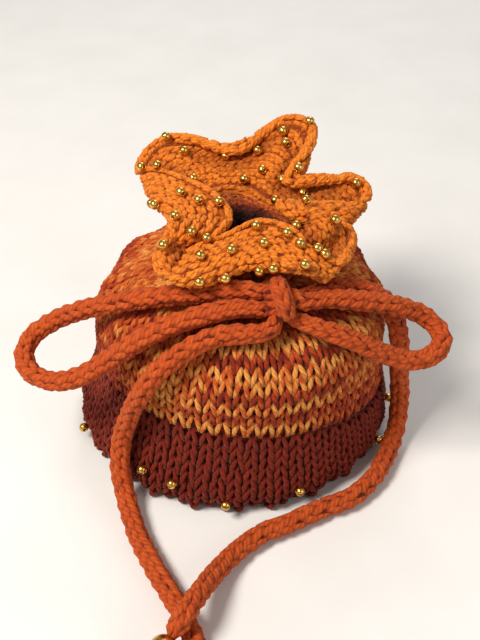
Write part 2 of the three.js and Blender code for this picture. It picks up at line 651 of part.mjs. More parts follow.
function makeEdgeBeads(wall) {
  const triangles = triangleList(wall);
  EDGE_BEADS.forEach(([turned, share], i) => {
    const angle = degrees(turned);
    const away = new THREE.Vector3(Math.cos(angle), Math.sin(angle), 0);
    const start = away.clone().multiplyScalar(RIM_RADIUS + BEAD_RADIUS * 2).setZ(RIM_HEIGHT * share);
    const along = new THREE.Vector3(-Math.sin(angle), Math.cos(angle), 0);
    makeBead(`edge_bead_${i + 1}`, seatBead(start, away, triangles), along);
  });
}

function makeRuffleBeads(ruffle) {
  const triangles = triangleList(ruffle);
  RUFFLE_BEADS.forEach(([turn, rise, face], i) => {
    const away = ruffleNormal(turn, rise).multiplyScalar(face);
    const along = ruffleMiddle(turn + 0.004, rise).sub(ruffleMiddle(turn, rise)).normalize();
    const start = ruffleMiddle(turn, rise).addScaledVector(away, FABRIC / 2 + BEAD_RADIUS * 1.6);
    makeBead(`ruffle_bead_${i + 1}`, seatBead(start, away, triangles), along);
  });
}

makeBasePanel();
makeWalls();
makeEyeletBand();
const ruffle = makeRuffle();
makeNeckCord();
makeHalfKnot();
makeBowKnot();
makeBowStrand('left_loop', LEFT_LOOP, 24, true);
makeBowStrand('right_loop', RIGHT_LOOP, 18, true);
const leftTail = makeBowStrand('left_tail', LEFT_TAIL, 18, false);
const rightTail = makeBowStrand('right_tail', RIGHT_TAIL, 22, false);
makeCordEnd('left', leftTail);
makeCordEnd('right', rightTail);
makeEdgeBeads(bag.getObjectByName('lower_wall'));
makeRuffleBeads(ruffle);

export default bag;
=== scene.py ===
# %% [markdown]
# # A hand-knitted drawstring bag with a beaded ruffle
# The real bag is made of one thing, yarn, so this lesson makes yarn. Each piece of fabric is one
# thread that runs in loops along its rows, as a needle leaves it, and beads and a cord are added.
# Sizes are written in millimetres and become metres when a mesh is made.

# %% Load the fixed frame
import math

import bmesh
import bpy
import numpy as np
from mathutils import Matrix, Vector


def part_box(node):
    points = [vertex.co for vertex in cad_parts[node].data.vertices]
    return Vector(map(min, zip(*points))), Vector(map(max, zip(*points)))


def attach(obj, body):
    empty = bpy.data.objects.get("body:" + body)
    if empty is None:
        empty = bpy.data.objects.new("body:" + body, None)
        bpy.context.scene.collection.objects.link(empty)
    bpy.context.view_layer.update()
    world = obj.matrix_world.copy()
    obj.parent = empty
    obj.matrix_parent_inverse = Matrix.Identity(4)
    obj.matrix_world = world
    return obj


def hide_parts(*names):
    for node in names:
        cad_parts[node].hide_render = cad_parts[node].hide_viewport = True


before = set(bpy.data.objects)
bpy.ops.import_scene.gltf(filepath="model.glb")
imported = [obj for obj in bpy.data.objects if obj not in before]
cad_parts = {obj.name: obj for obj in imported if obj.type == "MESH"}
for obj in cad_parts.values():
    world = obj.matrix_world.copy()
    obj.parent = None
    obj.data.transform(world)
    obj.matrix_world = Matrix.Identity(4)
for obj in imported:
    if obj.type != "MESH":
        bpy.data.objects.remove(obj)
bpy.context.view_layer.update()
MM = 0.001
TURN = 2 * math.pi
TINY = 1e-9


def add_object(name, data):
    thing = bpy.data.objects.new(name, data)
    bpy.context.scene.collection.objects.link(thing)
    return thing


# %% [markdown]
# ## Camera
# The photograph looks down on the bag at 39 degrees from in front. A long lens from 32 cm away
# gives the same spread of sizes between the ruffle and the ends of the cord.

# %% The camera
VIEW_TARGET = Vector((2, 0, 35)) * MM
VIEW_DISTANCE = 320 * MM
VIEW_ELEVATION = math.radians(39)
FOCAL_PIXELS = 1019.1
PICTURE_HEIGHT = 640
SENSOR_HEIGHT = 24.0
TO_CAMERA = np.array((0, -math.cos(VIEW_ELEVATION), math.sin(VIEW_ELEVATION)))
UP_IN_VIEW = np.array((0, math.sin(VIEW_ELEVATION), math.cos(VIEW_ELEVATION)))

lens = bpy.data.cameras.new("camera")
lens.sensor_fit = "VERTICAL"
lens.sensor_height = SENSOR_HEIGHT
lens.lens = FOCAL_PIXELS / PICTURE_HEIGHT * SENSOR_HEIGHT
camera = add_object("camera", lens)
camera.location = VIEW_TARGET + Vector(TO_CAMERA) * VIEW_DISTANCE
camera.rotation_euler = (math.radians(90) - VIEW_ELEVATION, 0, 0)
bpy.context.scene.camera = camera
print("camera at", [round(x, 4) for x in camera.location])

# %% [markdown]
# ## Smooth lines
# A cord is a smooth curve through points that are given. The curve passes through each
# point, and its speed follows the distance between the points, so that it doesn't overshoot.


# %% Curves through points
def between(p1, p2, m1, m2, share):
    """Points of the smooth curve that leaves p1 with slope m1 and reaches p2 with slope m2."""
    return ((2 * share**3 - 3 * share**2 + 1) * p1 + (share**3 - 2 * share**2 + share) * m1
            + (3 * share**2 - 2 * share**3) * p2 + (share**3 - share**2) * m2)


def with_neighbours(values, closed):
    """Adds the rows that a curve through all the values needs before and after them."""
    if closed:
        return np.concatenate([values[-1:], values, values[:2]])
    return np.concatenate([2 * values[:1] - values[1:2], values, 2 * values[-1:] - values[-2:-1]])


def smooth_line(points, closed=False, steps=12):
    points = np.asarray(points, float)
    padded = with_neighbours(points, closed)
    share = (np.arange(steps) / steps)[:, None]
    pieces = []
    for p0, p1, p2, p3 in zip(padded, padded[1:], padded[2:], padded[3:]):
        t0, t1, t2 = (np.linalg.norm(b - a) ** 0.5 for a, b in ((p0, p1), (p1, p2), (p2, p3)))
        m1 = p2 - p1 + t1 * ((p1 - p0) / t0 - (p2 - p0) / (t0 + t1))
        m2 = p2 - p1 + t1 * ((p3 - p2) / t2 - (p3 - p1) / (t1 + t2))
        pieces.append(between(p1, p2, m1, m2, share))
    line = np.vstack(pieces)
    return line if closed else np.vstack([line, points[-1]])


# %% Measure and sample a line
def run_length(line):
    steps = np.linalg.norm(np.diff(line, axis=0), axis=1)
    return np.concatenate([[0], np.cumsum(steps)])


def sampled(table, wanted, places):
    """Each column of a table, whose rows lie at some places, read at the wanted ones."""
    return np.column_stack([np.interp(wanted, places, column) for column in table.T])


def even_steps(line, count):
    run = run_length(line)
    return sampled(line, np.linspace(0, run[-1], count), run)


# %% Directions along a line
def unit(vectors):
    return vectors / np.maximum(np.linalg.norm(vectors, axis=-1, keepdims=True), TINY)


def side_vectors(line, first):
    """A direction square to the line at each point, carried along it without twisting."""
    heading = unit(np.gradient(line, axis=0))
    sides = [np.asarray(first, float)]
    for direction in heading:
        side = sides[-1] - direction * sides[-1].dot(direction)
        sides.append(side / np.linalg.norm(side))
    return heading, np.array(sides[1:])


bend = smooth_line([(0, 0, 0), (10, 0, 0), (10, 10, 0)])
print("a bend through 3 points is", round(run_length(bend)[-1], 1), "mm long, with", len(bend), "points")

# %% [markdown]
# ## Where the cord lies
# The points are the cord's real route: out of the knot, round each loop and back, and down each
# tail to the table. The frame's solids follow them too, but the right tail lies nearer the wall here.

# %% Cord routes
KNOT = np.array((13.75, -27.9, 64.6))
KNOT_RADIUS = 5.5
KNOT_GAP = 0.1
CORD_RADIUS = 3.3
CORD_TIGHT_RADIUS = 2.6
TIGHT_LENGTH = 14

ROUTE_POINTS = {
    "left_loop": [
        (8.4, -26.5, 66.3), (2, -25.7, 66.6), (-9.1, -23.9, 64), (-20.5, -21.9, 61.2),
        (-32.2, -19.5, 57.4), (-44.1, -15.7, 51.5), (-53.3, -13.4, 45.5), (-59.9, -15, 41),
        (-62.1, -20, 38.6), (-59.5, -26.2, 37), (-53, -30.5, 37), (-45, -32, 39.5),
        (-37.1, -32.4, 45.2), (-28.5, -33.4, 52.8), (-19.4, -33.3, 58.8), (-8.9, -31.6, 62),
        (0.9, -30.1, 63.4), (8.6, -29.6, 62.5),
    ],
    "right_loop": [
        (19.5, -28.4, 64), (25.6, -25.6, 63.2), (34.2, -23.4, 61), (44.7, -20.7, 57.4),
        (54.8, -17.8, 51.3), (59.5, -20, 48.2), (60.4, -24, 45.9), (56.8, -28, 44.4),
        (50.1, -30.6, 44.8), (42, -31.6, 48.6), (32.4, -33.2, 55), (23.5, -32.6, 58.6),
        (16.6, -31.1, 60.7),
    ],
    "left_tail": [
        (12.2, -31.4, 60.3), (10.2, -34.4, 59.4), (4.8, -35.6, 58.9), (-1.2, -35.6, 58.7),
        (-5.4, -36, 58), (-11.6, -38.5, 56.4), (-18.4, -40.8, 52.3), (-24.3, -41.4, 44.3),
        (-29.6, -38.6, 31.2), (-32.8, -38, 20.3), (-33.5, -41.4, 12.9), (-32.2, -45.4, 6),
        (-28.8, -55.8, 3.5), (-23.3, -68.4, 3.5), (-17.7, -78.5, 3.5), (-14.1, -85.2, 3.5),
        (-11.5, -90.8, 3.5), (-9.5, -95.9, 3.7), (-8.5, -100.6, 3.9),
    ],
    "right_tail": [
        (17.5, -24.5, 61.8), (25.2, -19.4, 61.7), (32.4, -15.9, 60), (39.6, -14.7, 57.3),
        (45.4, -13.4, 51.9), (48.6, -13.2, 44.5), (50.6, -12.8, 35.6), (51.2, -13.1, 26),
        (52.4, -13.3, 15.6), (51.8, -17.8, 6.7), (48.5, -26.1, 3.7), (42.9, -37, 3.7),
        (35.5, -45.2, 3.7), (25.7, -49.9, 3.6), (16.8, -54.9, 3.6), (7.8, -59.5, 3.6),
        (0.9, -65.6, 3.7), (-4.6, -73.9, 5.4), (-8.7, -83.1, 9), (-11.8, -90.5, 11),
        (-13.6, -93.4, 10.1), (-15.5, -95.9, 8.2),
    ],
}


def outside_knot(line):
    """The stretch of a line that lies clear of the knot's core."""
    keep = np.linalg.norm(line - KNOT, axis=1) > KNOT_RADIUS + KNOT_GAP
    return line[np.argmax(keep):len(keep) - np.argmax(keep[::-1])]


routes = {name: outside_knot(smooth_line(points)) for name, points in ROUTE_POINTS.items()}
for name, line in routes.items():
    print(name, "is", round(run_length(line)[-1], 1), "mm long")

# %% [markdown]
# ## Yarn finishes
# Wool is matt, with a soft sheen at grazing angles. Three plies twist round each other, which the
# bump shows as slanting grooves, and the dye is never even. The dye's tone picks a colour from a
# ramp, noise along the yarn shifts it, and painted shade darkens the grooves between the plies and
# the yarn that lies deeper between the stitches. A picture of yarn could do this too, but it would
# have to be painted and it would blur in close views.


# %% Nodes of a material
def linear(red, green, blue):
    """A colour from 0 to 255 on screen, as the linear value that a shader wants."""
    values = [channel / 255 for channel in (red, green, blue)]
    return tuple(v / 12.92 if v < 0.04045 else ((v + 0.055) / 1.055) ** 2.4 for v in values) + (1,)


class Nodes:
    """Short calls that add nodes to one material and join them."""

    def __init__(self, name):
        self.material = bpy.data.materials.new(name)
        self.material.use_nodes = True
        self.tree = self.material.node_tree
        self.shader = self.tree.nodes["Principled BSDF"]
        coordinates = self.add("TexCoord").outputs
        self.uv, self.place = coordinates["UV"], coordinates["Object"]

    def add(self, kind, inputs=None, **settings):
        node = self.tree.nodes.new("ShaderNode" + kind)
        for key, value in settings.items():
            setattr(node, key, value)
        for key, value in (inputs or {}).items():
            self.feed(node.inputs[key], value)
        return node

    def feed(self, socket, value):
        if isinstance(value, bpy.types.NodeSocket):
            self.tree.links.new(value, socket)
        else:
            socket.default_value = value

    def math(self, operation, first, second=0.0):
        return self.add("Math", {0: first, 1: second}, operation=operation).outputs[0]

    def plus(self, first, second):
        return self.math("ADD", first, second)

    def times(self, first, second):
        return self.math("MULTIPLY", first, second)

    def attribute(self, name):
        return self.add("Attribute", attribute_name=name).outputs["Fac"]

    def ramp(self, factor, *stops):
        """Each stop is a position and a colour, either on screen or, with four values, linear."""
        node = self.add("ValToRGB", {"Fac": factor})
        while len(node.color_ramp.elements) < len(stops):
            node.color_ramp.elements.new(0.5)
        for element, (position, *colour) in zip(node.color_ramp.elements, stops):
            element.position = position
            element.color = linear(*colour) if len(colour) == 3 else colour
        return node.outputs["Color"]

    def multiply(self, first, second):
        return self.add("VectorMath", {0: first, 1: second}, operation="MULTIPLY").outputs[0]

    def noise(self, vector, scale, detail=2.0):
        return self.add("TexNoise", {"Vector": vector, "Scale": scale, "Detail": detail}).outputs["Fac"]

    def scaled(self, vector, x, y):
        return self.add("Mapping", {"Vector": vector, "Scale": (x, y, 1.0)}).outputs["Vector"]

    def surface(self, colour, wear, rough, height, bump, others):
        """Wear runs the roughness between two values, and bump is a strength and a distance."""
        roughness = self.add("MapRange", {"Value": wear, "To Min": rough[0], "To Max": rough[1]})
        relief = self.add("Bump", {"Height": height, "Strength": bump[0], "Distance": bump[1]})
        joined = {"Base Color": colour, "Roughness": roughness.outputs["Result"],
                  "Normal": relief.outputs["Normal"]}
        for name, value in {**joined, **others}.items():
            self.feed(self.shader.inputs[name], value)
        return self.material


# %% Yarn finishes
PLIES = 3
PLY_PITCH = 5.2
FIBRE_SCALE = (0.9, 14.0)
PATCH_SCALE = (0.11, 0.0)
BLOOM_SCALE = 240.0
PLY_SHADE, FIBRE_SHADE = 0.6, 0.8
FIBRE_HEIGHT = 0.7
WHITE = (1, 1, 1, 1)
# Painted shade: the two ramps below darken the ply grooves and the yarn that lies deeper.
GROOVE_SHADE_STOPS = ((0.1, 0.55, 0.506, 0.495, 1), (0.75, *WHITE))
PAINTED_SHADE_STOPS = ((0.0, 0.3, 0.15, 0.1, 1), (0.85, *WHITE))
YARN_ROUGH, YARN_BUMP = (0.72, 0.98), (0.7, 0.25 * MM)
YARN_SHADER = {"Sheen Weight": 0.1, "Sheen Roughness": 0.45, "Sheen Tint": (1.0, 0.7, 0.4, 1),
               "Specular IOR Level": 0.25}
YARN_STOPS = {
    "cord_yarn": ((0.0, 142, 44, 12), (0.5, 190, 77, 24), (1.0, 216, 106, 42)),
    "rust_yarn": ((0.0, 86, 14, 5), (0.5, 122, 29, 10), (1.0, 162, 60, 23)),
    "orange_yarn": ((0.0, 197, 87, 18), (0.5, 230, 126, 32), (1.0, 246, 163, 61)),
    # painted shade for the throat, from dark at 0 to orange at 1
    "shaded_yarn": ((0.0, 54, 12, 4), (0.45, 126, 44, 14), (1.0, 206, 98, 26)),
    "sewing_thread": ((0.0, 96, 34, 16), (0.5, 124, 48, 22), (1.0, 150, 66, 32)),
}
VARIEGATED_STOPS = ((0.0, 120, 28, 10), (0.4, 171, 58, 20), (0.7, 204, 102, 36), (1.0, 226, 154, 74))


def yarn_material(name, stops, uneven=0.16, marl=0.05):
    """The stops run from 0 to 1. Noise shifts them by uneven, and one ply differs by marl."""
    nodes = Nodes(name)
    across = nodes.add("SeparateXYZ", {"Vector": nodes.uv}).outputs
    turns = nodes.plus(nodes.math("DIVIDE", across["X"], PLY_PITCH), across["Y"])
    wave = nodes.math("SINE", nodes.times(turns, TURN * PLIES))
    ply = nodes.plus(nodes.times(wave, 0.5), 0.5)
    fibres = nodes.noise(nodes.scaled(nodes.uv, *FIBRE_SCALE), 1.0, 3.0)
    patches = nodes.noise(nodes.scaled(nodes.uv, *PATCH_SCALE), 1.0, 1.0)
    shift = nodes.plus(nodes.plus(patches, nodes.noise(nodes.place, BLOOM_SCALE)), -1.0)
    dye = nodes.plus(nodes.attribute("dye"), nodes.times(shift, uneven * 2))
    one_ply = nodes.times(nodes.math("SINE", nodes.times(turns, TURN)), marl)
    colour = nodes.ramp(nodes.plus(dye, one_ply), *stops)
    shade = nodes.plus(nodes.times(ply, PLY_SHADE), nodes.times(fibres, FIBRE_SHADE))
    grooved = nodes.multiply(colour, nodes.ramp(shade, *GROOVE_SHADE_STOPS))
    shaded = nodes.multiply(grooved, nodes.ramp(nodes.attribute("front"), *PAINTED_SHADE_STOPS))
    height = nodes.plus(ply, nodes.times(fibres, FIBRE_HEIGHT))
    return nodes.surface(shaded, fibres, YARN_ROUGH, height, YARN_BUMP, YARN_SHADER)


looks = {name: yarn_material(name, stops) for name, stops in YARN_STOPS.items()}
looks["variegated_yarn"] = yarn_material("variegated_yarn", VARIEGATED_STOPS, uneven=0.5, marl=0.16)
print("yarn finishes:", *looks)

# %% [markdown]
# ## Yarn
# A strand of yarn is a curve with a round bevel, turned into a mesh. Six sides are enough, because
# the light sees only the top of each strand. Its map runs along the strand in millimetres and once
# round it, so a finish can twist the plies along the yarn, and its dye and its painted shade are
# stored at each point.


def put(name, mesh, look, body, stands_for=()):
    """Adds a piece to a body, gives it its finish and hides the frame's nodes that it stands for."""
    piece = add_object(name, mesh)
    mesh.materials.append(looks[look])
    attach(piece, body)
    if stands_for:
        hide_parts(*stands_for)
    print(name, "has", len(mesh.polygons), "faces")
    return piece


# %% Close a mesh
MERGE = 1e-7


def closed_mesh(shape, mesh, merge=MERGE):
    """Joins the points that meet, turns the faces outwards and fills the mesh with the shape."""
    bmesh.ops.remove_doubles(shape, verts=shape.verts, dist=merge)
    bmesh.ops.recalc_face_normals(shape, faces=shape.faces)
    for face in shape.faces:
        face.smooth = True
    shape.to_mesh(mesh)
    shape.free()
    return mesh


# %% Strands as one bevelled curve
def each(value, count):
    return np.broadcast_to(np.asarray(value, float), (count,))


def bevelled_curve(name, strands, sides):
    curve = bpy.data.curves.new(name, "CURVE")
    curve.dimensions = "3D"
    curve.bevel_depth = MM
    curve.bevel_resolution = sides // 2 - 2
    curve.use_fill_caps = True
    for line, radius, _, _ in strands:
        spline = curve.splines.new("POLY")
        spline.points.add(len(line) - 1)
        spline.points.foreach_set("co", np.column_stack([line * MM, np.ones(len(line))]).ravel())
        spline.points.foreach_set("radius", np.array(each(radius, len(line))))
    return curve


# %% Spin the strands into a mesh
YARN_SIDES = 6
YARN_MERGE = 1e-8


def along_strands(values, sides):
    """One value per mesh vertex: the curve's end caps come first, and then the tubes."""
    caps = [each(value[k], sides) for value in values for k in (0, -1)]
    tubes = [np.repeat(value, sides) for value in values]
    return np.concatenate(caps + tubes)


def yarn_piece(name, strands, look, body, stands_for=(), sides=YARN_SIDES):
    """Makes one piece of strands: points and radius in mm, dye, and the painted light, from 0 in shade
    behind to 1 in front.
    """
    line = add_object(name + "_line", bevelled_curve(name, strands, sides))
    graph = bpy.context.evaluated_depsgraph_get()
    mesh = bpy.data.meshes.new_from_object(line.evaluated_get(graph), depsgraph=graph)
    bpy.data.objects.remove(line)
    mesh.name = name
    length = along_strands([run_length(strand[0]) for strand in strands], sides)
    corner = np.zeros(len(mesh.loops), np.int32)
    mesh.loops.foreach_get("vertex_index", corner)
    layer = mesh.uv_layers[0].data
    place = np.zeros(2 * len(corner))
    layer.foreach_get("uv", place)
    layer.foreach_set("uv", np.column_stack([length[corner], place[1::2]]).ravel())
    for label, k in (("dye", 2), ("front", 3)):
        values = along_strands([each(strand[k], len(strand[0])) for strand in strands], sides)
        mesh.attributes.new(label, "FLOAT", "POINT").data.foreach_set("value", values)
    shape = bmesh.new()
    shape.from_mesh(mesh)
    mesh.materials.clear()
    return put(name, closed_mesh(shape, mesh, YARN_MERGE), look, body, stands_for)


# %% [markdown]
# ## The knit stitch
# Each stitch is a loop that leans in at its foot and out at its head. From the front the two legs
# show as a V, because the head and the foot lie behind. The loop is taller than its row, so that
# its head hooks round the feet of the next row. Garter stitch turns every second row round, which
# puts rows of bumps on both faces.

# %% Stitches and rows
SAMPLES = 9
LEAN = 0.27
REACH = 1.9
UNEVEN = 0.07
GARTER_PEAK = 0.3
MID_TONE = 0.5
SEED = 11
chance = np.random.RandomState(SEED)


def stocking_loop(t, row):
    """Shares across and up from the row's middle, and how far out, from -1 to 1."""
    return t + LEAN * np.sin(2 * TURN * t), -0.5 * REACH * np.cos(TURN * t), -np.cos(2 * TURN * t)


def garter_loop(t, row):
    side = 1 if row % 2 else -1
    out = (np.cos(TURN * t) + GARTER_PEAK * np.cos(3 * TURN * t)) / (1 + GARTER_PEAK)
    return t + LEAN * np.sin(2 * TURN * t), -np.cos(TURN * t), side * out


def by_hand(t, amount):
    """Small slips that no hand-knitted stitch is free of, smooth from stitch to stitch."""
    halves = chance.normal(0, amount, int(2 * t[-1]) + 3)
    return np.interp(2 * t, np.arange(len(halves)), halves)


def knit_in_rounds(counts, loop=stocking_loop, uneven=UNEVEN):
    """One strand in rounds of so many stitches: its turn, its row, how far out, and its rounds."""
    turns, rows, outs, rounds = [], [], [], []
    for row, count in enumerate(counts):
        t = np.arange(count * SAMPLES + (row == len(counts) - 1)) / SAMPLES
        across, up, out = loop(t, row)
        turns.append((across + by_hand(t, uneven)) / count)
        rows.append(row + t / count + up + by_hand(t, uneven))
        outs.append(out * (1 + by_hand(t, uneven)))
        rounds.append(row + t / count)
    return tuple(np.concatenate(values) for values in (turns, rows, outs, rounds))


# Painted light for a strand: full where the yarn lies out on a face, painted shade where it lies deeper.
def painted_light_one_face(out):
    return np.clip(0.5 + 0.5 * out, 0, 1)


def painted_light_both_faces(out):
    return np.clip(np.abs(out), 0, 1)


# %% [markdown]
# ## The cord
# The drawstring is a cord of three stitches, knitted round and round, so that plump V stitches
# run along it. A plain core fills it, as the yarn that crosses inside does, painted dark as the
# shade inside the cord, and where the cord goes into the bow it is pulled tight.

# %% How thick the cord is along its length
END_LENGTH = 4.0
END_SHARE = 0.3


def pulled_tight(travel, length, both_ends):
    from_knot = np.minimum(travel, length - travel) if both_ends else travel
    share = np.clip(from_knot / TIGHT_LENGTH, 0, 1)
    return (CORD_TIGHT_RADIUS + (CORD_RADIUS - CORD_TIGHT_RADIUS) * share) / CORD_RADIUS


def drawn_in(travel, length):
    """A tail's last stitches close round its thread, as a rounded end."""
    share = np.clip((length - travel) / END_LENGTH, 0, 1)
    return END_SHARE + (1 - END_SHARE) * np.sqrt(share * (2 - share))


def size_of(share):
    return lambda travel: np.full_like(travel, share)


# %% Knit a cord along a line
CORD_WALES = 3
CORD_ROW = 4.3
CORD_YARN = 1.18
CORD_YARN_LEAST = 0.62
CORD_DEPTH = 0.55
CORD_REACH = 1.75
CORD_STEP, CORD_LEAST_STEPS = 0.8, 8


def cord_loop(t, row):
    across, up, out = stocking_loop(t, row)
    return across, up * CORD_REACH / REACH, out


def knitted_cord(line, size, closed=0):
    """The strand of a knitted cord. Size gives the cord's size at each length, 1 for full.
    Closed is 1 where a last round closes the end."""
    line = even_steps(line, max(int(run_length(line)[-1] / CORD_STEP), CORD_LEAST_STEPS))
    run = run_length(line)
    heading, side = side_vectors(line, TO_CAMERA)
    up = np.cross(heading, side)
    rounds = max(int(round(run[-1] / CORD_ROW / size(run).mean() - CORD_REACH / 2)), 2)
    turn, row, out, _ = knit_in_rounds([CORD_WALES] * (rounds + closed), cord_loop)
    travel = np.minimum(run[-1] * (row - row.min()) / (np.ptp(row) - closed), run[-1])
    share = size(travel)
    reach = (CORD_RADIUS - CORD_YARN - CORD_DEPTH + CORD_DEPTH * out) * share
    middle, across, over = (sampled(values, travel, run) for values in (line, side, up))
    sides = unit(across) * np.cos(TURN * turn)[:, None] + unit(over) * np.sin(TURN * turn)[:, None]
    radius = CORD_YARN * np.maximum(share, CORD_YARN_LEAST)
    return middle + sides * reach[:, None], radius, MID_TONE, painted_light_one_face(out)


# %% Core of a cord, and cords that are held
CORE_STEP, CORE_LEAST_STEPS = 1.5, 6
CORE_SIDES = 10
CORE_RADIUS = 2.35
# The core's dark tone and low front value are painted shade for the yarn inside the cord.
CORE_SHADE_TONE = 0.1
CORE_PAINTED_LIGHT = 0.2


def cord_core(line, size):
    line = even_steps(line, max(int(run_length(line)[-1] / CORE_STEP), CORE_LEAST_STEPS))
    return line, CORE_RADIUS * size(run_length(line)), CORE_SHADE_TONE, CORE_PAINTED_LIGHT


def core_piece(name, lines, size, body, stands_for=()):
    cores = [cord_core(line, size) for line in lines]
    return yarn_piece(name, cores, "cord_yarn", body, stands_for, CORE_SIDES)


def held_cord(name, core_name, lines, body, size, stands_for=(), core_size=None):
    """Stretches of cord that don't hang free, and their cores, as two pieces."""
    yarn_piece(name, [knitted_cord(line, size) for line in lines], "cord_yarn", body)
    core_piece(core_name, lines, core_size or size, body, stands_for)


# %% The bow's loops and tails
CORE_SHORT = 1.8
KNOT_ENTRY = 0.3


def into_knot(line, both_ends):
    """The strand goes on inside the knot, where nothing shows its end."""
    inner = [KNOT + (end - KNOT) * KNOT_ENTRY for end in (line[0], line[-1])]
    return np.vstack([inner[0], line] + ([inner[1]] if both_ends else []))


def free_cord(name, line):
    """A loop or a tail of the bow: its core, and its stitches, which go on into the knot."""
    both = name.endswith("loop")
    body = name if both else "bow"
    length = run_length(line)[-1]

    def taper(travel):
        size = pulled_tight(travel, length, both)
        return size if both else size * drawn_in(travel, length)

    inner = line if both else line[run_length(line) < length - CORE_SHORT]
    core = core_piece(name + "_core", [inner], taper, body, (name,))
    inside = into_knot(line, both)
    lead = run_length(inside)[1]
    strand = knitted_cord(inside, lambda travel: taper(travel - lead), closed=0 if both else 1)
    return core, yarn_piece(name + "_stitches", [strand], "cord_yarn", body)


cords = {name: free_cord(name, line) for name, line in routes.items()}

# %% [markdown]
# ## The bag's outline
# The wall is a soft tube that stands on its seam, leans in above it and is drawn together at the
# neck. One function gives a point of the wall for an angle, a length up the outline and a depth
# into the fabric. The yarn and the lining that backs it both follow that function.

# %% The outline
FABRIC = 3.2
BASE_RADIUS = 47.0
RIM_RADIUS = 50.3
RIM_HEIGHT = 7.5
WAIST_RADIUS = 45.0
WAIST_HEIGHT = 31.0
SHOULDER_RADIUS = 45.2
SHOULDER_HEIGHT = 40.0
NECK_HEIGHT = 58.8
NECK_SHIFT = 3.3
NECK_RADIUS = 15.5
EYELET_WALL = 1.6
BAND_HEIGHT = 28.3
OUTLINE_STEPS = 60
SPANS_BELOW_SHOULDER = 7

OUTLINE = np.array([
    (BASE_RADIUS, 0), (RIM_RADIUS - 0.9, RIM_HEIGHT * 0.45), (RIM_RADIUS, RIM_HEIGHT),
    ((RIM_RADIUS * 2 + WAIST_RADIUS) / 3 - 0.4, RIM_HEIGHT + 7),
    (WAIST_RADIUS + 0.6, WAIST_HEIGHT - 8), (WAIST_RADIUS, WAIST_HEIGHT),
    (SHOULDER_RADIUS, SHOULDER_HEIGHT), (SHOULDER_RADIUS - 1.8, SHOULDER_HEIGHT + 6),
    (SHOULDER_RADIUS - 5, SHOULDER_HEIGHT + 10.8), (SHOULDER_RADIUS - 10, SHOULDER_HEIGHT + 14.4),
    (NECK_RADIUS + 14, NECK_HEIGHT - 2), (NECK_RADIUS + 8.5, NECK_HEIGHT - 0.7),
    (NECK_RADIUS + 3, NECK_HEIGHT - 0.1), (NECK_RADIUS - EYELET_WALL / 2, NECK_HEIGHT),
])


def finer(padded, times):
    """Puts smooth in-between rows into a grid that has its neighbours."""
    p0, p1, p2, p3 = (padded[k:len(padded) - 3 + k] for k in range(4))
    rows = [between(p1, p2, (p2 - p0) / 2, (p3 - p1) / 2, share) for share in np.arange(times) / times]
    return np.stack(rows, axis=1).reshape(-1, *padded.shape[1:])


outline = np.vstack([finer(np.vstack([OUTLINE[0], OUTLINE, OUTLINE[-1]]), OUTLINE_STEPS), OUTLINE[-1]])
outline_run = run_length(outline)
outline_heading = unit(np.gradient(outline, axis=0))
below_shoulder = SPANS_BELOW_SHOULDER * OUTLINE_STEPS
WALL_LENGTH = outline_run[-1]
BAND_LENGTH = np.interp(BAND_HEIGHT, outline[:below_shoulder, 1], outline_run[:below_shoulder])
print("outline is", round(WALL_LENGTH, 1), "mm, lower wall", round(BAND_LENGTH, 1), "mm of it")

# %% Places round the neck
WEAVE = 3.4
WAVES = 3
CORD_HEIGHT = 64.2
KNOT_BEARING = math.atan2(KNOT[1], KNOT[0] - NECK_SHIFT)


def wall_radius(angle):
    return NECK_RADIUS - WEAVE * np.cos(WAVES * (angle - KNOT_BEARING))


def cord_reach(angle):
    return NECK_RADIUS + WEAVE * np.cos(WAVES * (angle - KNOT_BEARING))


def neck_centre(height):
    return NECK_SHIFT * np.clip((height - RIM_HEIGHT) / (NECK_HEIGHT - RIM_HEIGHT), 0, 1)


def polar(angle, radius, height, centre=0):
    return np.column_stack([centre + radius * np.cos(angle), radius * np.sin(angle), height + 0 * angle])


def around_neck(angle, radius, height):
    return polar(angle, radius, height, neck_centre(height))


# %% Points of the wall
WEAVE_ONSET = 6
FLAT_FOOT = 0.05
SCALLOPS = 24
SCALLOP_DEPTH = 1.1
SCALLOP_RISE = 1.5
GATHERS = 12
GATHER_DEPTH = 1.1
SIDE_SWELL = 1.2
SWELL_FOOT, SWELL_HEIGHT, SWELL_FALL = 8, 32, 8


def smooth_share(value, low, high):
    share = np.clip((value - low) / (high - low), 0, 1)
    return share * share * (3 - 2 * share)


def side_swell(angle, height):
    """The wall swells a little beside the right tail, which lies against it."""
    share = np.clip((height - SWELL_FOOT) / SWELL_HEIGHT, 0, 1)
    return SIDE_SWELL * (np.cos(angle / 2)**SWELL_FALL * np.sin(math.pi * share)**2)


def wall_point(angle, length, depth):
    """Length runs up the outline from the floor, and depth from the outside in, both in mm."""
    length = np.clip(length, 0, WALL_LENGTH)
    radius, height = sampled(outline, length, outline_run).T
    outwards, upwards = sampled(outline_heading, length, outline_run).T
    flat = smooth_share(length / WALL_LENGTH, 0, FLAT_FOOT)
    inward = unit(np.column_stack([-upwards, outwards * flat]))
    low = 1 - smooth_share(height, 0, RIM_HEIGHT * SCALLOP_RISE)
    high = smooth_share(height, SHOULDER_HEIGHT, NECK_HEIGHT)
    scallop = SCALLOP_DEPTH * np.cos(SCALLOPS * angle) * low
    gather = GATHER_DEPTH * np.cos(GATHERS * angle) * high * (1 - high) * 4
    weave = (wall_radius(angle) - NECK_RADIUS) * high**WEAVE_ONSET
    reach = radius + scallop + weave + side_swell(angle, height) + inward[:, 0] * (depth - gather)
    rise = np.maximum(height + inward[:, 1] * (depth - gather), 0)
    return polar(angle, reach, rise, neck_centre(height))


foot = wall_point(np.array([0.0]), 0, 0)[0]
print("on the right the wall's foot is at", foot.round(1))
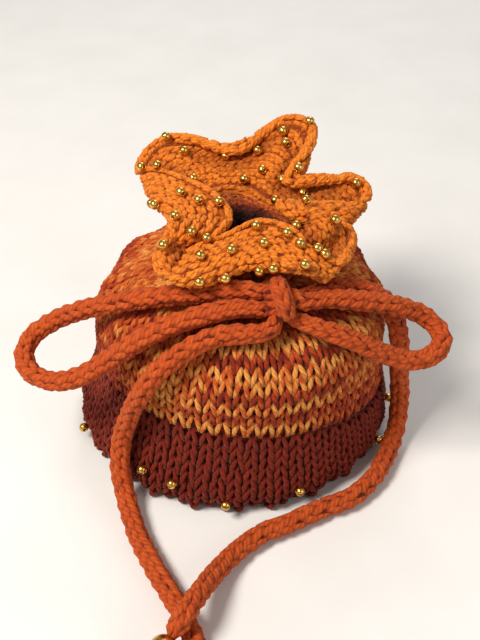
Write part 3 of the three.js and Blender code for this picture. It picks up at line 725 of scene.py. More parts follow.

# %% [markdown]
# ## Lining behind the stitches
# Between the loops the eye sees yarn that lies deeper, and never through the fabric. A closed ring
# of thin felt-like fabric stands in for that deeper yarn, in colours darker than the yarn's as painted
# shade. It starts as a flat grid, whose points are moved to the outside and the inside of the ring,
# and its edges are then merged.


# %% A closed ring of fabric
def fabric_ring(name, face, around, rows, look, body, stands_for=(), stretch=(300, 40)):
    """Face(turn, rise, depth) gives points for depth 0 on the outside and 1 on the inside."""
    shape = bmesh.new()
    loop = 2 * rows + 2
    bmesh.ops.create_grid(shape, x_segments=around, y_segments=loop, size=1, calc_uvs=True)
    corners = np.array([vert.co[:2] for vert in shape.verts])
    turn = (corners[:, 0] + 1) / 2
    step = np.round((corners[:, 1] + 1) / 2 * loop).astype(int) % loop
    outside = step <= rows
    rise = np.where(outside, step, loop - 1 - step) / rows
    places = face(np.round(turn * around) % around / around, rise, np.where(outside, 0.0, 1.0))
    layer = shape.loops.layers.uv.verify()
    for cell in shape.faces:
        for corner in cell.loops:
            k = corner.vert.index
            corner[layer].uv = (turn[k] * stretch[0], rise[k] * stretch[1])
    for vert, place in zip(shape.verts, places * MM):
        vert.co = place
    return put(name, closed_mesh(shape, bpy.data.meshes.new(name)), look, body, stands_for)


# %% Lining finishes
MATTED_SCALE, MATTED_GRAIN, MATTED_SHARE = (0.7, 2.2), 2.4, 0.6
CLUMP_SCALE, CLUMP_SHARE = 180.0, 0.4
LINING_ROUGH, LINING_BUMP = (0.85, 1.0), (0.8, 0.4 * MM)
LINING_SHADER = {"Specular IOR Level": 0.15}
# Painted shade: each lining is darker than the yarn in front of it, and the throat's is nearly black.
LINING_STOPS = {
    "rust_lining": ((0.3, 70, 18, 8), (0.7, 112, 36, 16)),
    "warm_lining": ((0.3, 92, 28, 10), (0.7, 140, 56, 22)),
    "orange_lining": ((0.3, 172, 82, 22), (0.7, 212, 118, 38)),
    "shaded_lining": ((0.3, 40, 9, 3), (0.7, 70, 20, 7)),
}


def lining_material(name, stops):
    nodes = Nodes(name)
    fibres = nodes.noise(nodes.scaled(nodes.uv, *MATTED_SCALE), MATTED_GRAIN, 4.0)
    clumps = nodes.noise(nodes.place, CLUMP_SCALE)
    blend = nodes.plus(nodes.times(fibres, MATTED_SHARE), nodes.times(clumps, CLUMP_SHARE))
    colour = nodes.ramp(blend, *stops)
    return nodes.surface(colour, clumps, LINING_ROUGH, blend, LINING_BUMP, LINING_SHADER)


linings = {name: lining_material(name, stops) for name, stops in LINING_STOPS.items()}
looks.update(linings)
print("lining finishes:", *linings)

# %% [markdown]
# ## Lower and upper wall
# The lower wall is rust-coloured, and the upper wall is one dyed yarn that changes from rust over
# orange to pale gold as it goes round. The list gives the runs of that dye by rounds knitted, so
# the pale runs lie over each other at the front.

# %% Dye of the upper yarn
UPPER_ROWS = 14
DYE_BLEND = 0.01
DYE_RUNS = [
    (0.0, 0.2), (0.39, 0.85), (0.59, 0.35), (0.72, 0.2), (1.1, 0.4), (1.36, 0.75), (1.44, 0.35),
    (1.62, 0.45), (1.75, 0.2), (2.1, 0.3), (2.36, 0.6), (2.4, 0.9), (2.6, 0.75), (2.74, 0.25),
    (3.1, 0.5), (3.36, 0.85), (3.45, 0.25), (3.62, 0.7), (3.74, 0.2), (4.15, 0.6), (4.3, 0.35),
    (4.41, 0.75), (4.6, 0.65), (4.76, 0.2), (5.2, 0.5), (5.33, 0.75), (5.4, 0.85), (5.64, 0.7),
    (5.76, 0.15), (6.1, 0.4), (6.36, 0.7), (6.45, 0.2), (6.63, 0.8), (6.76, 0.2), (7.1, 0.6),
    (7.3, 0.2), (7.36, 0.8), (7.43, 0.3), (7.46, 1.0), (7.66, 0.45), (7.84, 0.1), (8.1, 0.7),
    (8.3, 0.25), (8.46, 0.5), (8.6, 0.35), (8.68, 0.65), (8.93, 0.3), (9.1, 0.65), (9.33, 0.8),
    (9.42, 0.3), (9.47, 0.6), (9.58, 0.25), (9.67, 0.8), (9.93, 0.35), (10.1, 0.5), (10.3, 0.85),
    (10.42, 0.3), (10.62, 0.75), (10.93, 0.2), (11.1, 0.6), (11.3, 0.8), (11.5, 0.3),
    (11.66, 0.85), (11.93, 0.3), (12.2, 0.7), (12.35, 0.4), (12.6, 0.75),
    (12.8, 0.3), (13.2, 0.8), (13.6, 0.4), (13.8, 0.6),
]


def dye_tone(rounds):
    """The dye at a length along the yarn, with a short change from each run to the next."""
    knots, tones = [], []
    for (start, tone), (end, _) in zip(DYE_RUNS, DYE_RUNS[1:] + [(UPPER_ROWS + 1, 0)]):
        knots += [start + DYE_BLEND, end - DYE_BLEND]
        tones += [tone, tone]
    return np.interp(rounds, knots, tones)


# %% Knit the walls
WALL_STITCHES = 64
WALL_YARN = 0.8
WALL_DEPTH = 0.7
LOWER_TONE = 0.45
LOWER_ROWS = 7
LOWER_FOOT = 1.1
LOWER_LINING_ROWS, UPPER_LINING_ROWS = 12, 20
CHANGE_DROP = 3.2
CHANGE_TILT = 4.2
RIGHT_DROP, RIGHT_ONSET = 7.0, 3
LEFT_DROP, LEFT_ONSET = 4.0, 6
START_ANGLE = math.pi / 2
LINING_COLUMNS = 144
LINING_DEPTH = (1.9, 3.1)
LINING_FOOT = 0.4


def bottom_edge(angle):
    return 0.0 * angle


def colour_change(angle):
    """The length up the outline where the colour changes. The bag sags at its two sides."""
    right, left = (np.clip(side * np.cos(angle), 0, 1) for side in (1, -1))
    sag = RIGHT_DROP * right**RIGHT_ONSET + LEFT_DROP * left**LEFT_ONSET
    return BAND_LENGTH - CHANGE_DROP - CHANGE_TILT * np.cos(angle) - sag


def neck_edge(angle):
    return WALL_LENGTH + 0.0 * angle


def wall_strand(rows, below, above, foot):
    """Rows of stitches between two edges of the wall. Foot is the lowest yarn's height."""
    turn, row, out, rounds = knit_in_rounds([WALL_STITCHES] * rows)
    angle = turn * TURN + START_ANGLE
    low, high = below(angle), above(angle)
    spacing = (high - low - foot) / (rows + (REACH - 1) / 2)
    length = low + foot + spacing * (row + REACH / 2)
    return wall_point(angle, length, FABRIC / 2 - WALL_DEPTH * out), painted_light_one_face(out), rounds


def wall_lining(below, above):
    def face(turn, rise, depth):
        low, high = below(turn * TURN), above(turn * TURN)
        inset = LINING_DEPTH[0] + (LINING_DEPTH[1] - LINING_DEPTH[0]) * depth
        return wall_point(turn * TURN, low + LINING_FOOT * (1 - rise) + (high - low) * rise, inset)
    return face


def knit_wall(name, rows, foot, edges, dye, look, lining_look, lining_rows):
    line, front, rounds = wall_strand(rows, *edges, foot)
    yarn_piece(name + "_stitches", [(line, WALL_YARN, dye(rounds), front)], look, "bag")
    fabric_ring(name + "_lining", wall_lining(*edges), LINING_COLUMNS, lining_rows, lining_look, "bag",
                (name,))


knit_wall("lower_wall", LOWER_ROWS, LOWER_FOOT, (bottom_edge, colour_change),
          lambda rounds: LOWER_TONE, "rust_yarn", "rust_lining", LOWER_LINING_ROWS)
knit_wall("upper_wall", UPPER_ROWS, 0, (colour_change, neck_edge), dye_tone, "variegated_yarn",
          "warm_lining", UPPER_LINING_ROWS)

# %% [markdown]
# ## Base
# The round base is knitted from its middle outwards, with a few more stitches in each round, and
# overcast stitches join it to the wall. They make the lumpy line along the bottom edge.

# %% Knit the base and sew it on
BASE_ROWS = 12
BASE_STITCH = 4.6
LEAST_STITCHES = 4
BASE_EDGE = BASE_RADIUS - FABRIC - SCALLOP_DEPTH - 0.3
BASE_TONE = 0.4
BASE_START, BASE_LEAST = 0.9, 0.1
BASE_MIDDLE = 0.2
BASE_LINING, BASE_LINING_DEPTH = 0.62, 0.36
BASE_CELLS = (96, 8)
SEAM_STITCHES = 66
SEAM_SAMPLES = 10
SEAM_YARN = 0.85
SEAM_INSET, SEAM_REACH = 0.6, 1.5
SEAM_HEIGHT, SEAM_LIFT = 2.1, 1.15
SEAM_SHADE = 0.5


def base_strand():
    spacing = BASE_EDGE / (BASE_ROWS + (REACH - 1) / 2)
    counts = [max(int(round(TURN * spacing * (row + 1) / BASE_STITCH)), LEAST_STITCHES)
              for row in range(BASE_ROWS)]
    turn, row, out, _ = knit_in_rounds(counts)
    radius = spacing * np.maximum(row + BASE_START, BASE_LEAST)
    height = np.maximum(FABRIC / 2 - WALL_DEPTH * out, WALL_YARN)
    return polar(turn * TURN, radius, height), WALL_YARN, BASE_TONE, painted_light_one_face(out)


def base_face(turn, rise, depth):
    radius = BASE_MIDDLE + (BASE_EDGE - BASE_MIDDLE) * rise
    return polar(turn * TURN, radius, FABRIC * (BASE_LINING + BASE_LINING_DEPTH * depth))


def seam_strand():
    """Overcast stitches that wrap the bottom edge, with a lump at each scallop."""
    t = np.arange(SEAM_STITCHES * SEAM_SAMPLES + 1) / SEAM_SAMPLES
    angle = t / SEAM_STITCHES * TURN
    swing = t * TURN
    scallop = SCALLOP_DEPTH * np.cos(SCALLOPS * angle)
    radius = BASE_RADIUS - SEAM_INSET + scallop + SEAM_REACH * np.cos(swing)
    line = polar(angle, radius, SEAM_HEIGHT + SEAM_LIFT * np.sin(swing))
    # Painted shade on the half of each wrap that turns in under the edge.
    return line, SEAM_YARN, MID_TONE, painted_light_one_face(np.cos(swing - SEAM_SHADE))


yarn_piece("base_stitches", [base_strand()], "rust_yarn", "bag")
fabric_ring("base_lining", base_face, *BASE_CELLS, "rust_lining", "bag", ("base_panel",))
yarn_piece("base_seam", [seam_strand()], "rust_yarn", "bag")

# %% [markdown]
# ## Drawstring round the neck
# The cord weaves out and in through six eyelets. Where it passes through the fabric, the stitches
# are pushed apart, so each strand of the band is moved off the cord's middle line.

# %% Knit the eyelet band
BAND_OVER = 1.65
BAND_TOP = CORD_HEIGHT + CORD_RADIUS + BAND_OVER
BAND_COUNTS = [60] * 6
BAND_FOOT, BAND_REACH = 0.3, 1.2
BAND_YARN = 0.75
BAND_DEPTH = 0.35
BAND_TONE = 0.4
BAND_LINING_FOOT, BAND_LINING_REACH = 0.2, 1.9
BAND_LINING_HALF = 0.3
BAND_LINING_GAP = 0.2
BAND_LINING_ROWS = 10


def neck_route(start, end):
    """The cord's line round the neck between two bearings from the knot, in degrees."""
    angle = KNOT_BEARING + np.radians(np.linspace(start, end, int(abs(end - start))))
    return around_neck(angle, cord_reach(angle), CORD_HEIGHT)


def pushed_off(line, middle, clearance):
    """Moves the points that lie too near a middle line out to a clearance from it."""
    offsets = line[:, None] - middle[None]
    distance = np.linalg.norm(offsets, axis=2)
    nearest = distance.argmin(axis=1)
    gap = distance[np.arange(len(line)), nearest]
    away = offsets[np.arange(len(line)), nearest] / np.maximum(gap, TINY)[:, None]
    return line + away * np.maximum(clearance - gap, 0)[:, None]


def risen(row):
    """Rows as a share of the whole height, from 0 to 1."""
    return (row - row.min()) / np.ptp(row)


whole_route = neck_route(0, 360)
turn, row, out, _ = knit_in_rounds(BAND_COUNTS)
angle = turn * TURN + START_ANGLE
height = NECK_HEIGHT + BAND_FOOT + (BAND_TOP + BAND_REACH - NECK_HEIGHT) * risen(row)
line = around_neck(angle, wall_radius(angle) + BAND_DEPTH * out, height)
line = pushed_off(line, whole_route, CORD_RADIUS + BAND_YARN)
yarn_piece("eyelet_band_stitches", [(line, BAND_YARN, BAND_TONE, painted_light_both_faces(out))], "orange_yarn", "bag")


def band_face(turn, rise, depth):
    angle = turn * TURN
    height = NECK_HEIGHT + BAND_LINING_FOOT + (BAND_TOP + BAND_LINING_REACH - NECK_HEIGHT) * rise
    places = around_neck(angle, wall_radius(angle) + BAND_LINING_HALF * (1 - 2 * depth), height)
    return pushed_off(places, whole_route, CORD_RADIUS + BAND_LINING_GAP)


fabric_ring("eyelet_band_lining", band_face, LINING_COLUMNS, BAND_LINING_ROWS, "orange_lining", "bag",
            ("eyelet_band",))

# %% The cord round the neck, and its two leads
LEAD_REACH = 30
HALF_KNOT_REACH = 12
RING_GAP = 1.1

ring_end = LEAD_REACH + RING_GAP
held_cord("drawstring_stitches", "drawstring_core", [neck_route(ring_end, 360 - ring_end)], "bag",
          size_of(1), ("drawstring_ring",))
leads = [neck_route(side * HALF_KNOT_REACH, side * LEAD_REACH) for side in (-1, 1)]
held_cord("lead_stitches", "lead_cores", leads, "bow", size_of(1), ("left_lead", "right_lead"))

# %% [markdown]
# ## The bow's knot
# Behind it the cord's two leads twist once round each other. In front, two short stretches of
# cord cross the knot from loop to loop, and one strand comes up over them.

# %% The strand over the knot
WRAP_REACH = 5.0
WRAP_SIZE = 2.85 / CORD_RADIUS
WRAP_ANGLES = (-88, 112)
WRAP_POINTS = 36
WRAP_DIP, WRAP_ONSET = 0.45, 6
WRAP_LEAN = math.radians(17)


def twisted(angle, first, second):
    return np.cos(angle) * first + np.sin(angle) * second


leaning = UP_IN_VIEW * math.cos(WRAP_LEAN) - np.array((math.sin(WRAP_LEAN), 0, 0))
share = np.linspace(-1, 1, WRAP_POINTS)[:, None]
angles = np.radians(np.linspace(*WRAP_ANGLES, WRAP_POINTS))[:, None]
wrap = KNOT + WRAP_REACH * (1 - WRAP_DIP * share**WRAP_ONSET) * twisted(angles, TO_CAMERA, leaning)
held_cord("bow_wrap_stitches", "bow_wrap_core", [wrap], "bow", size_of(WRAP_SIZE), ("bow_wrap",))

# %% The core of the knot
TIGHT_SIZE = CORD_TIGHT_RADIUS / CORD_RADIUS
PLUMP = 1.05
HEART_REACH = 5.2
HEART_RADII = (1.6, 2.8, 3.5, 3.9, 4.1, 3.9, 3.5, 2.8, 1.6)


def through_knot(start, end, bend):
    """A short stretch of cord from one strand's end, past the knot's middle, to another's."""
    return smooth_line([np.array(start, float), KNOT + np.array(bend), np.array(end, float)])


left_loop, right_loop, left_tail, right_tail = ROUTE_POINTS.values()
crossings = [
    through_knot(left_loop[0], right_loop[0], (0, 0.4, 1.9)),
    through_knot(left_loop[-1], right_loop[-1], (0, -0.9, -1.9)),
    through_knot(left_tail[0], KNOT + (1, 2.4, 0), (0, -0.4, -2.2)),
    through_knot(right_tail[0], KNOT + (-2, 1, 0.5), (1.4, 1.8, -0.6)),
]
held_cord("bow_core_stitches", "bow_core_fill", crossings, "bow", size_of(TIGHT_SIZE * PLUMP),
          ("bow_core",), size_of(TIGHT_SIZE))

heart = KNOT + np.linspace(-1, 1, len(HEART_RADII))[:, None] * np.array((HEART_REACH, 0, 0))


def heart_size(travel):
    return np.interp(travel, run_length(heart), HEART_RADII) / CORD_RADIUS


held_cord("bow_heart_stitches", "bow_core_heart", [heart], "bow", heart_size)

# %% The half knot behind it
HALF_KNOT_RADIUS = 2.3
HALF_KNOT_HALF = 3.9
HALF_KNOT_TWIST = 0.6 * math.pi
HALF_KNOT_POINTS = 16

middle = around_neck(np.array([KNOT_BEARING]), cord_reach(KNOT_BEARING), CORD_HEIGHT)[0]
along = np.array((-math.sin(KNOT_BEARING), math.cos(KNOT_BEARING), 0))
outwards = np.array((math.cos(KNOT_BEARING), math.sin(KNOT_BEARING), 0))
share = np.linspace(-1, 1, HALF_KNOT_POINTS)[:, None]
half_strands = []
for side in (0, math.pi):
    round_it = twisted(share * HALF_KNOT_TWIST + side, outwards, np.array((0, 0, 1)))
    half_strands.append(middle + along * share * HALF_KNOT_HALF + HALF_KNOT_RADIUS * round_it)
held_cord("half_knot_stitches", "half_knot_core", half_strands, "bow", size_of(TIGHT_SIZE), ("half_knot",))

# %% [markdown]
# ## How the ruffle falls
# The ruffle is a strip of fabric with far more stitches along its free edge than at the neck, so
# it has to fold. Its free edge is drawn as five lobes. Between neck and edge the sheet is settled
# in small steps: each knitted length pulls towards its real size, and folds push each other apart.

# %% The sheet before it settles
RUFFLE_WIDTH = 27
RUFFLE_TURN = math.radians(-8)
RUFFLE_GAP = 0.3
RUFFLE_START = BAND_TOP + RUFFLE_GAP + FABRIC / 2
EDGE_STEPS = 24
DRAFT_SWELL = 0.7
LEAST_SLACK = 9
COLUMNS = 104
ROWS = 9
RUFFLE_EDGE = [
    (24.9, 4.5, 73.5), (35.2, 6.5, 72), (40.6, 13.2, 73), (37.4, 17.4, 75.5), (27.4, 14.7, 77),
    (15.8, 12.8, 77.5), (22.6, 23.9, 82), (24.5, 33, 85.5), (16.1, 38.6, 85), (7.6, 33.1, 81),
    (0.8, 28.5, 79), (-10.4, 32.4, 80), (-19.9, 34.9, 80), (-26.2, 32.7, 77.5), (-29.6, 25.5, 74),
    (-24.1, 20, 76.5), (-15.2, 12.6, 78), (-6.5, 5.5, 78), (-1.4, -1, 76.5), (-5, -6.8, 75.5),
    (-13.5, -8.2, 73), (-18, -11, 71.5), (-16.5, -15.5, 70.5), (-10, -15, 72), (-1.8, -13.2, 75),
    (7.6, -8.2, 77), (17.5, -12, 75.5), (21.5, -17, 72.5), (28.5, -19.5, 71), (35.3, -8.5, 71.5),
    (31.5, -2.4, 73), (22.6, -4.4, 75), (12.6, 2.2, 76.5),
]


def ruffle_draft():
    """The sheet before it settles: a bow from the neck out to the free edge."""
    closed = smooth_line(RUFFLE_EDGE, closed=True, steps=EDGE_STEPS)
    edge = even_steps(np.vstack([closed, closed[0]]), COLUMNS + 1)[:-1]
    angle = np.arange(COLUMNS) / COLUMNS * TURN + RUFFLE_TURN
    neck = around_neck(angle, wall_radius(angle), RUFFLE_START)
    out = neck + edge - (2 * NECK_SHIFT, 0, 0)
    out[:, 2] = 0
    slack = np.maximum(RUFFLE_WIDTH**2 - ((edge - neck) ** 2).sum(axis=1), LEAST_SLACK)
    bend = (neck + edge) / 2 + unit(out) * (np.sqrt(slack) * DRAFT_SWELL)[:, None]
    rise = (np.arange(ROWS) / (ROWS - 1))[None, :, None]
    return (1 - rise)**2 * neck[:, None] + 2 * rise * (1 - rise) * bend[:, None] + rise**2 * edge[:, None]


# %% Lengths along the fabric
EDGE_STEP = 2.6
ROW_STEP = 3.3


def knitted_lengths(target):
    """Pairs of points that the fabric joins, and how long it is between them."""
    nodes = np.arange(COLUMNS * ROWS).reshape(COLUMNS, ROWS)
    around = np.linalg.norm(target - np.roll(target, -1, axis=0), axis=2)
    share = np.arange(ROWS) / (ROWS - 1)
    firsts = np.concatenate([nodes.ravel(), nodes[:, :-1].ravel()])
    seconds = np.concatenate([np.roll(nodes, -1, axis=0).ravel(), nodes[:, 1:].ravel()])
    rests = [(around[:, :1] * (1 - share) + around[:, -1:] * share).ravel(),
             np.full(COLUMNS * (ROWS - 1), RUFFLE_WIDTH / (ROWS - 1))]
    return firsts, seconds, np.concatenate(rests)


def lengths_apart():
    """How far apart every two points are along the fabric, about, in mm."""
    column, row = np.divmod(np.arange(COLUMNS * ROWS), ROWS)
    gap = np.abs(column[:, None] - column[None])
    return np.minimum(gap, COLUMNS - gap) * EDGE_STEP + np.abs(row[:, None] - row[None]) * ROW_STEP


# %% Let the sheet settle
FOLD_SPACING = 4.2
STRANGER_SPACING = 1.6 * FOLD_SPACING
PUSH = 1.6
RUFFLE_SAG = 1.6
BOW_REACH = 10.4
EDGE_HOLD = 0.35
SMOOTHING = 0.12
SETTLE_ROUNDS = 60


def held_clear(sheet):
    """Keeps the sheet above the cord and off the bow."""
    out = np.hypot(sheet[..., 0] - NECK_SHIFT, sheet[..., 1])
    over_cord = out < NECK_RADIUS + WEAVE + CORD_RADIUS
    floor = np.where(over_cord, RUFFLE_START, RUFFLE_START - RUFFLE_SAG)
    sheet[..., 2] = np.maximum(sheet[..., 2], floor)
    reach = sheet - KNOT
    distance = np.linalg.norm(reach, axis=-1, keepdims=True)
    return np.where(distance < BOW_REACH, KNOT + reach * (BOW_REACH / distance), sheet)


def settled(target):
    tie_a, tie_b, tie_rest = knitted_lengths(target)
    strangers = np.triu(lengths_apart() > STRANGER_SPACING, 1)
    sheet = target.copy()
    for _ in range(SETTLE_ROUNDS):
        flat = sheet.reshape(-1, 3)
        squares = (flat**2).sum(axis=1)
        distance = squares[:, None] + squares[None] - 2 * flat @ flat.T
        close_a, close_b = np.nonzero(strangers & (distance <= FOLD_SPACING**2))
        a, b = np.concatenate([tie_a, close_a]), np.concatenate([tie_b, close_b])
        rest = np.concatenate([tie_rest, np.full(len(close_a), FOLD_SPACING)])
        reach = flat[b] - flat[a]
        length = np.maximum(np.linalg.norm(reach, axis=1), TINY)
        reach *= (0.5 * (length - rest) / length)[:, None]
        push = np.zeros_like(flat)
        np.add.at(push, a, reach)
        np.add.at(push, b, -reach)
        count = 1 + np.bincount(a, minlength=len(flat)) + np.bincount(b, minlength=len(flat))
        moved = (flat + push * (PUSH / count)[:, None]).reshape(COLUMNS, ROWS, 3)
        beside = (np.roll(moved, 1, axis=0) + np.roll(moved, -1, axis=0)) / 2
        next_sheet = moved + (beside - moved) * SMOOTHING
        inner = next_sheet[:, 1:-1]
        inner += ((moved[:, :-2] + moved[:, 2:]) / 2 - inner) * SMOOTHING
        next_sheet[:, -1] += (target[:, -1] - next_sheet[:, -1]) * EDGE_HOLD
        sheet = held_clear(next_sheet)
        sheet[:, 0] = target[:, 0]
    return sheet


# %% [markdown]
# The front folds hang down over the cord, and the left one bulges out. Each fold is pulled there: a
# list says how far its middle and its free edge move, at each share of a turn.

# %% Let the front folds hang
BELLY_PULLS = [
    (0, 0, 0, 0), (0.3, 0, 0, 0), (0.4, -1, 0, 0), (0.46, -3, -0.5, -1), (0.52, -2.5, -0.5, -0.5),
    (0.58, -1.5, -1, 0), (0.63, -1, -3, -1), (0.67, 0, -5, -1.8), (0.7, 0, -4.5, -1.8),
    (0.73, 0, -2.5, -1.2), (0.765, 0, -1.5, -0.8), (0.79, 0.5, -3, -1), (0.81, 0, -6, -1.5),
    (0.83, -0.5, -8, -1.5), (0.855, -1, -6, -1), (0.89, -1, -1.5, 0), (0.93, 0, 0, 0), (1, 0, 0, 0),
]
EDGE_PULLS = [
    (0, 0, 0, 0), (0.55, 0, 0, 0), (0.585, 0.8, -3.5, -0.5), (0.615, 0.5, -5.5, -1),
    (0.64, 0, -2.5, -0.5), (0.67, 0, 0, 0), (0.81, 0, 0, 0), (0.84, -1, -0.5, 0),
    (0.87, -1, 0, 0), (0.9, 0, 0, 0), (1, 0, 0, 0),
]
PULL_SMOOTHINGS = 6
COLLAR_CLEAR = 24.0
COLLAR_FLOOR = 69.3
HANG_FLOOR = 67.0
CORD_CLEAR = CORD_RADIUS + 1.7
KNOT_HALF, KNOT_POINTS = 4, 9
KNOT_CLEAR = 9.0


def pulled(pulls, turn):
    table = np.array(pulls)
    return sampled(table[:, 1:], turn, table[:, 0])[:, None]


def hung(sheet):
    turn = np.arange(COLUMNS) / COLUMNS
    rise = (np.arange(ROWS) / (ROWS - 1))[None, :, None]
    shift = pulled(BELLY_PULLS, turn) * np.sin(math.pi * rise) + pulled(EDGE_PULLS, turn) * rise**2
    for _ in range(PULL_SMOOTHINGS):
        beside = (np.roll(shift, 1, axis=0) + np.roll(shift, -1, axis=0)) / 2
        shift += (beside - shift) * 0.5
    shift[:, 0] = 0
    sheet = sheet + shift
    out = np.hypot(sheet[..., 0] - NECK_SHIFT, sheet[..., 1])
    floor = np.where(out < COLLAR_CLEAR, COLLAR_FLOOR, HANG_FLOOR)
    sheet[..., 2] = np.maximum(sheet[..., 2], floor)
    flat = sheet.reshape(-1, 3)
    for line in routes.values():
        flat = pushed_off(flat, line, CORD_CLEAR)
    across_knot = np.linspace(-KNOT_HALF, KNOT_HALF, KNOT_POINTS)[:, None] * np.array((1, 0, 0))
    return pushed_off(flat, KNOT + across_knot, KNOT_CLEAR).reshape(sheet.shape)


# %% A finer sheet, and points on it
FINER = 4
ACROSS = 3


def ring_length(ring):
    return run_length(np.vstack([ring, ring[:1]]))[-1]


rough_sheet = hung(settled(ruffle_draft()))
half_fine = finer(with_neighbours(rough_sheet, True), FINER).transpose(1, 0, 2)
fine_rows = finer(with_neighbours(half_fine, False), FINER)
fine_sheet = np.concatenate([fine_rows, half_fine[-1:]]).transpose(1, 0, 2)
sheet_across = np.roll(fine_sheet, -ACROSS, axis=0) - np.roll(fine_sheet, ACROSS, axis=0)
sheet_normal = unit(np.cross(sheet_across, np.gradient(fine_sheet, axis=1)))


def from_grid(grid, turn, rise):
    """Values between the points of a grid that closes in its first direction."""
    wide, tall = grid.shape[0], grid.shape[1]
    x = np.mod(turn, 1) * wide
    y = np.clip(rise, 0, 1) * (tall - 1)
    i, j = np.floor(x).astype(int) % wide, np.minimum(np.floor(y).astype(int), tall - 2)
    u, v = (x - np.floor(x))[:, None], (y - j)[:, None]
    low = grid[i, j] * (1 - u) + grid[(i + 1) % wide, j] * u
    high = grid[i, j + 1] * (1 - u) + grid[(i + 1) % wide, j + 1] * u
    return low * (1 - v) + high * v


def ruffle_point(turn, rise, out):
    """A point of the ruffle, out mm from its middle towards its outside."""
    turn, rise = np.broadcast_arrays(np.atleast_1d(turn), np.atleast_1d(rise))
    normal = unit(from_grid(sheet_normal, turn, rise))
    return from_grid(fine_sheet, turn, rise) + normal * np.broadcast_to(out, turn.shape)[:, None]


ring_lengths = [ring_length(ring) for ring in fine_sheet.transpose(1, 0, 2)]
print("ruffle: free edge", round(ring_lengths[-1]), "mm, neck edge", round(ring_lengths[0]), "mm")

# %% [markdown]
# ## Knit the ruffle
# Garter stitch shows bumps on both faces. The number of stitches grows on the way out, as a
# knitter adds them, and its last rows roll round the edge, so that no cut or wrapped edge shows.

# %% Light between the folds
SLOT_CLOSED = 2.5
SLOT_OPEN = 10.0
SLOT_LIGHT = 0.2


def slot_light(sheet):
    """How much light reaches the sheet's inner side: little where another fold is close to it."""
    flat = sheet.reshape(-1, 3)
    inward = -sheet_normal[::FINER, ::FINER].reshape(-1, 3)
    reach = flat[None] - flat[:, None]
    distance = np.linalg.norm(reach, axis=2)
    faced = (reach * inward[:, None]).sum(axis=2) > 0.5 * distance
    distance[~(faced & (lengths_apart() > SLOT_OPEN))] = SLOT_OPEN
    light = smooth_share(distance.min(axis=1), SLOT_CLOSED, SLOT_OPEN)
    return (SLOT_LIGHT + (1 - SLOT_LIGHT) * light).reshape(COLUMNS, ROWS, 1)


inner_light = slot_light(rough_sheet)
print("least light between the folds", round(inner_light.min(), 2))

# %% Ruffle stitches and lining
RUFFLE_COUNTS = [56] * 3 + [68] * 3 + [80] * 4 + [92] * 6
RUFFLE_UNEVEN = 0.13
RUFFLE_YARN = 0.85
RUFFLE_DEPTH = 0.85
RUFFLE_END = 0.985
RUFFLE_LINING = (0.01, 0.97, 0.45)
RUFFLE_CELLS = (COLUMNS * 3, 20)
NECK_LIGHT = 0.7
NECK_LIT = 0.16

turn, row, out, _ = knit_in_rounds(RUFFLE_COUNTS, garter_loop, RUFFLE_UNEVEN)
rise = RUFFLE_END * risen(row)
# Painted shade: the inner face darkens where another fold lies close, and both faces near the neck.
light = np.where(out < 0, from_grid(inner_light, turn, rise)[:, 0], 1)
light *= NECK_LIGHT + (1 - NECK_LIGHT) * smooth_share(rise, 0, NECK_LIT)
strand = (ruffle_point(turn, rise, RUFFLE_DEPTH * out), RUFFLE_YARN, MID_TONE, painted_light_both_faces(out) * light)
ruffle = yarn_piece("ruffle_stitches", [strand], "orange_yarn", "bag")


def lining_of(point, start, span, half):
    """The face of a lining that follows a sheet's points over a span of its height."""
    return lambda turn, rise, depth: point(turn, start + span * rise, half * (1 - 2 * depth))


ruffle_lining = fabric_ring("ruffle_lining", lining_of(ruffle_point, *RUFFLE_LINING), *RUFFLE_CELLS,
                            "orange_lining", "bag", ("ruffle_collar",), (ring_lengths[-1], RUFFLE_WIDTH))

# %% The ruffle's rolled rim
RIM_STITCHES = 90
RIM_ROWS = 3
RIM_BEFORE = 0.96
RIM_ROUND = 0.8
RIM_BUMP = 0.4
RIM_SPREAD = math.radians(40)


def purl_loop(t, row):
    across, up, out = stocking_loop(t, row)
    return across, up, -out


turn, row, out, _ = knit_in_rounds([RIM_STITCHES] * RIM_ROWS, purl_loop, RUFFLE_UNEVEN)
swing = ((row - RIM_ROWS / 2) * RIM_SPREAD)[:, None]
outward = unit(ruffle_point(turn, 1, 0) - ruffle_point(turn, RIM_BEFORE, 0))
normal = unit(from_grid(sheet_normal, turn, np.full(len(turn), RUFFLE_END)))
rim_line = (ruffle_point(turn, RUFFLE_END, 0)
            + (RIM_ROUND + RIM_BUMP * out)[:, None] * twisted(swing, outward, normal))
ruffle_rim = yarn_piece("ruffle_rim", [(rim_line, RUFFLE_YARN, MID_TONE, painted_light_one_face(out))], "orange_yarn",
                        "bag")

# %% [markdown]
# ## Down the throat
# Drawn together, the fabric folds inwards at the neck and goes down out of sight. A few rows follow
# a line from the neck's edge in over the cord and down, where their yarn and lining are painted dark with
# shade.

# %% Fabric inside the neck
THROAT_COUNTS = [36] * 2 + [28] * 2 + [20] * 4
THROAT_YARN = 0.8
THROAT_DEPTH = 0.5
THROAT_START, THROAT_LIFT = 1.5, 0.1
THROAT_LINE = np.array([(10.2, 70.5), (7.7, 68.6), (6.7, 65.6), (6.4, 62.4)])
THROAT_LINING = (0.02, 0.96, 0.2)
THROAT_CELLS = (96, 12)
THROAT_TURN = (0.1, 0.6)
PLEATS = 7
PLEAT_DEPTH = 0.7
THROAT_DARK = 0.5
THROAT_LEAST_LIGHT = 0.45


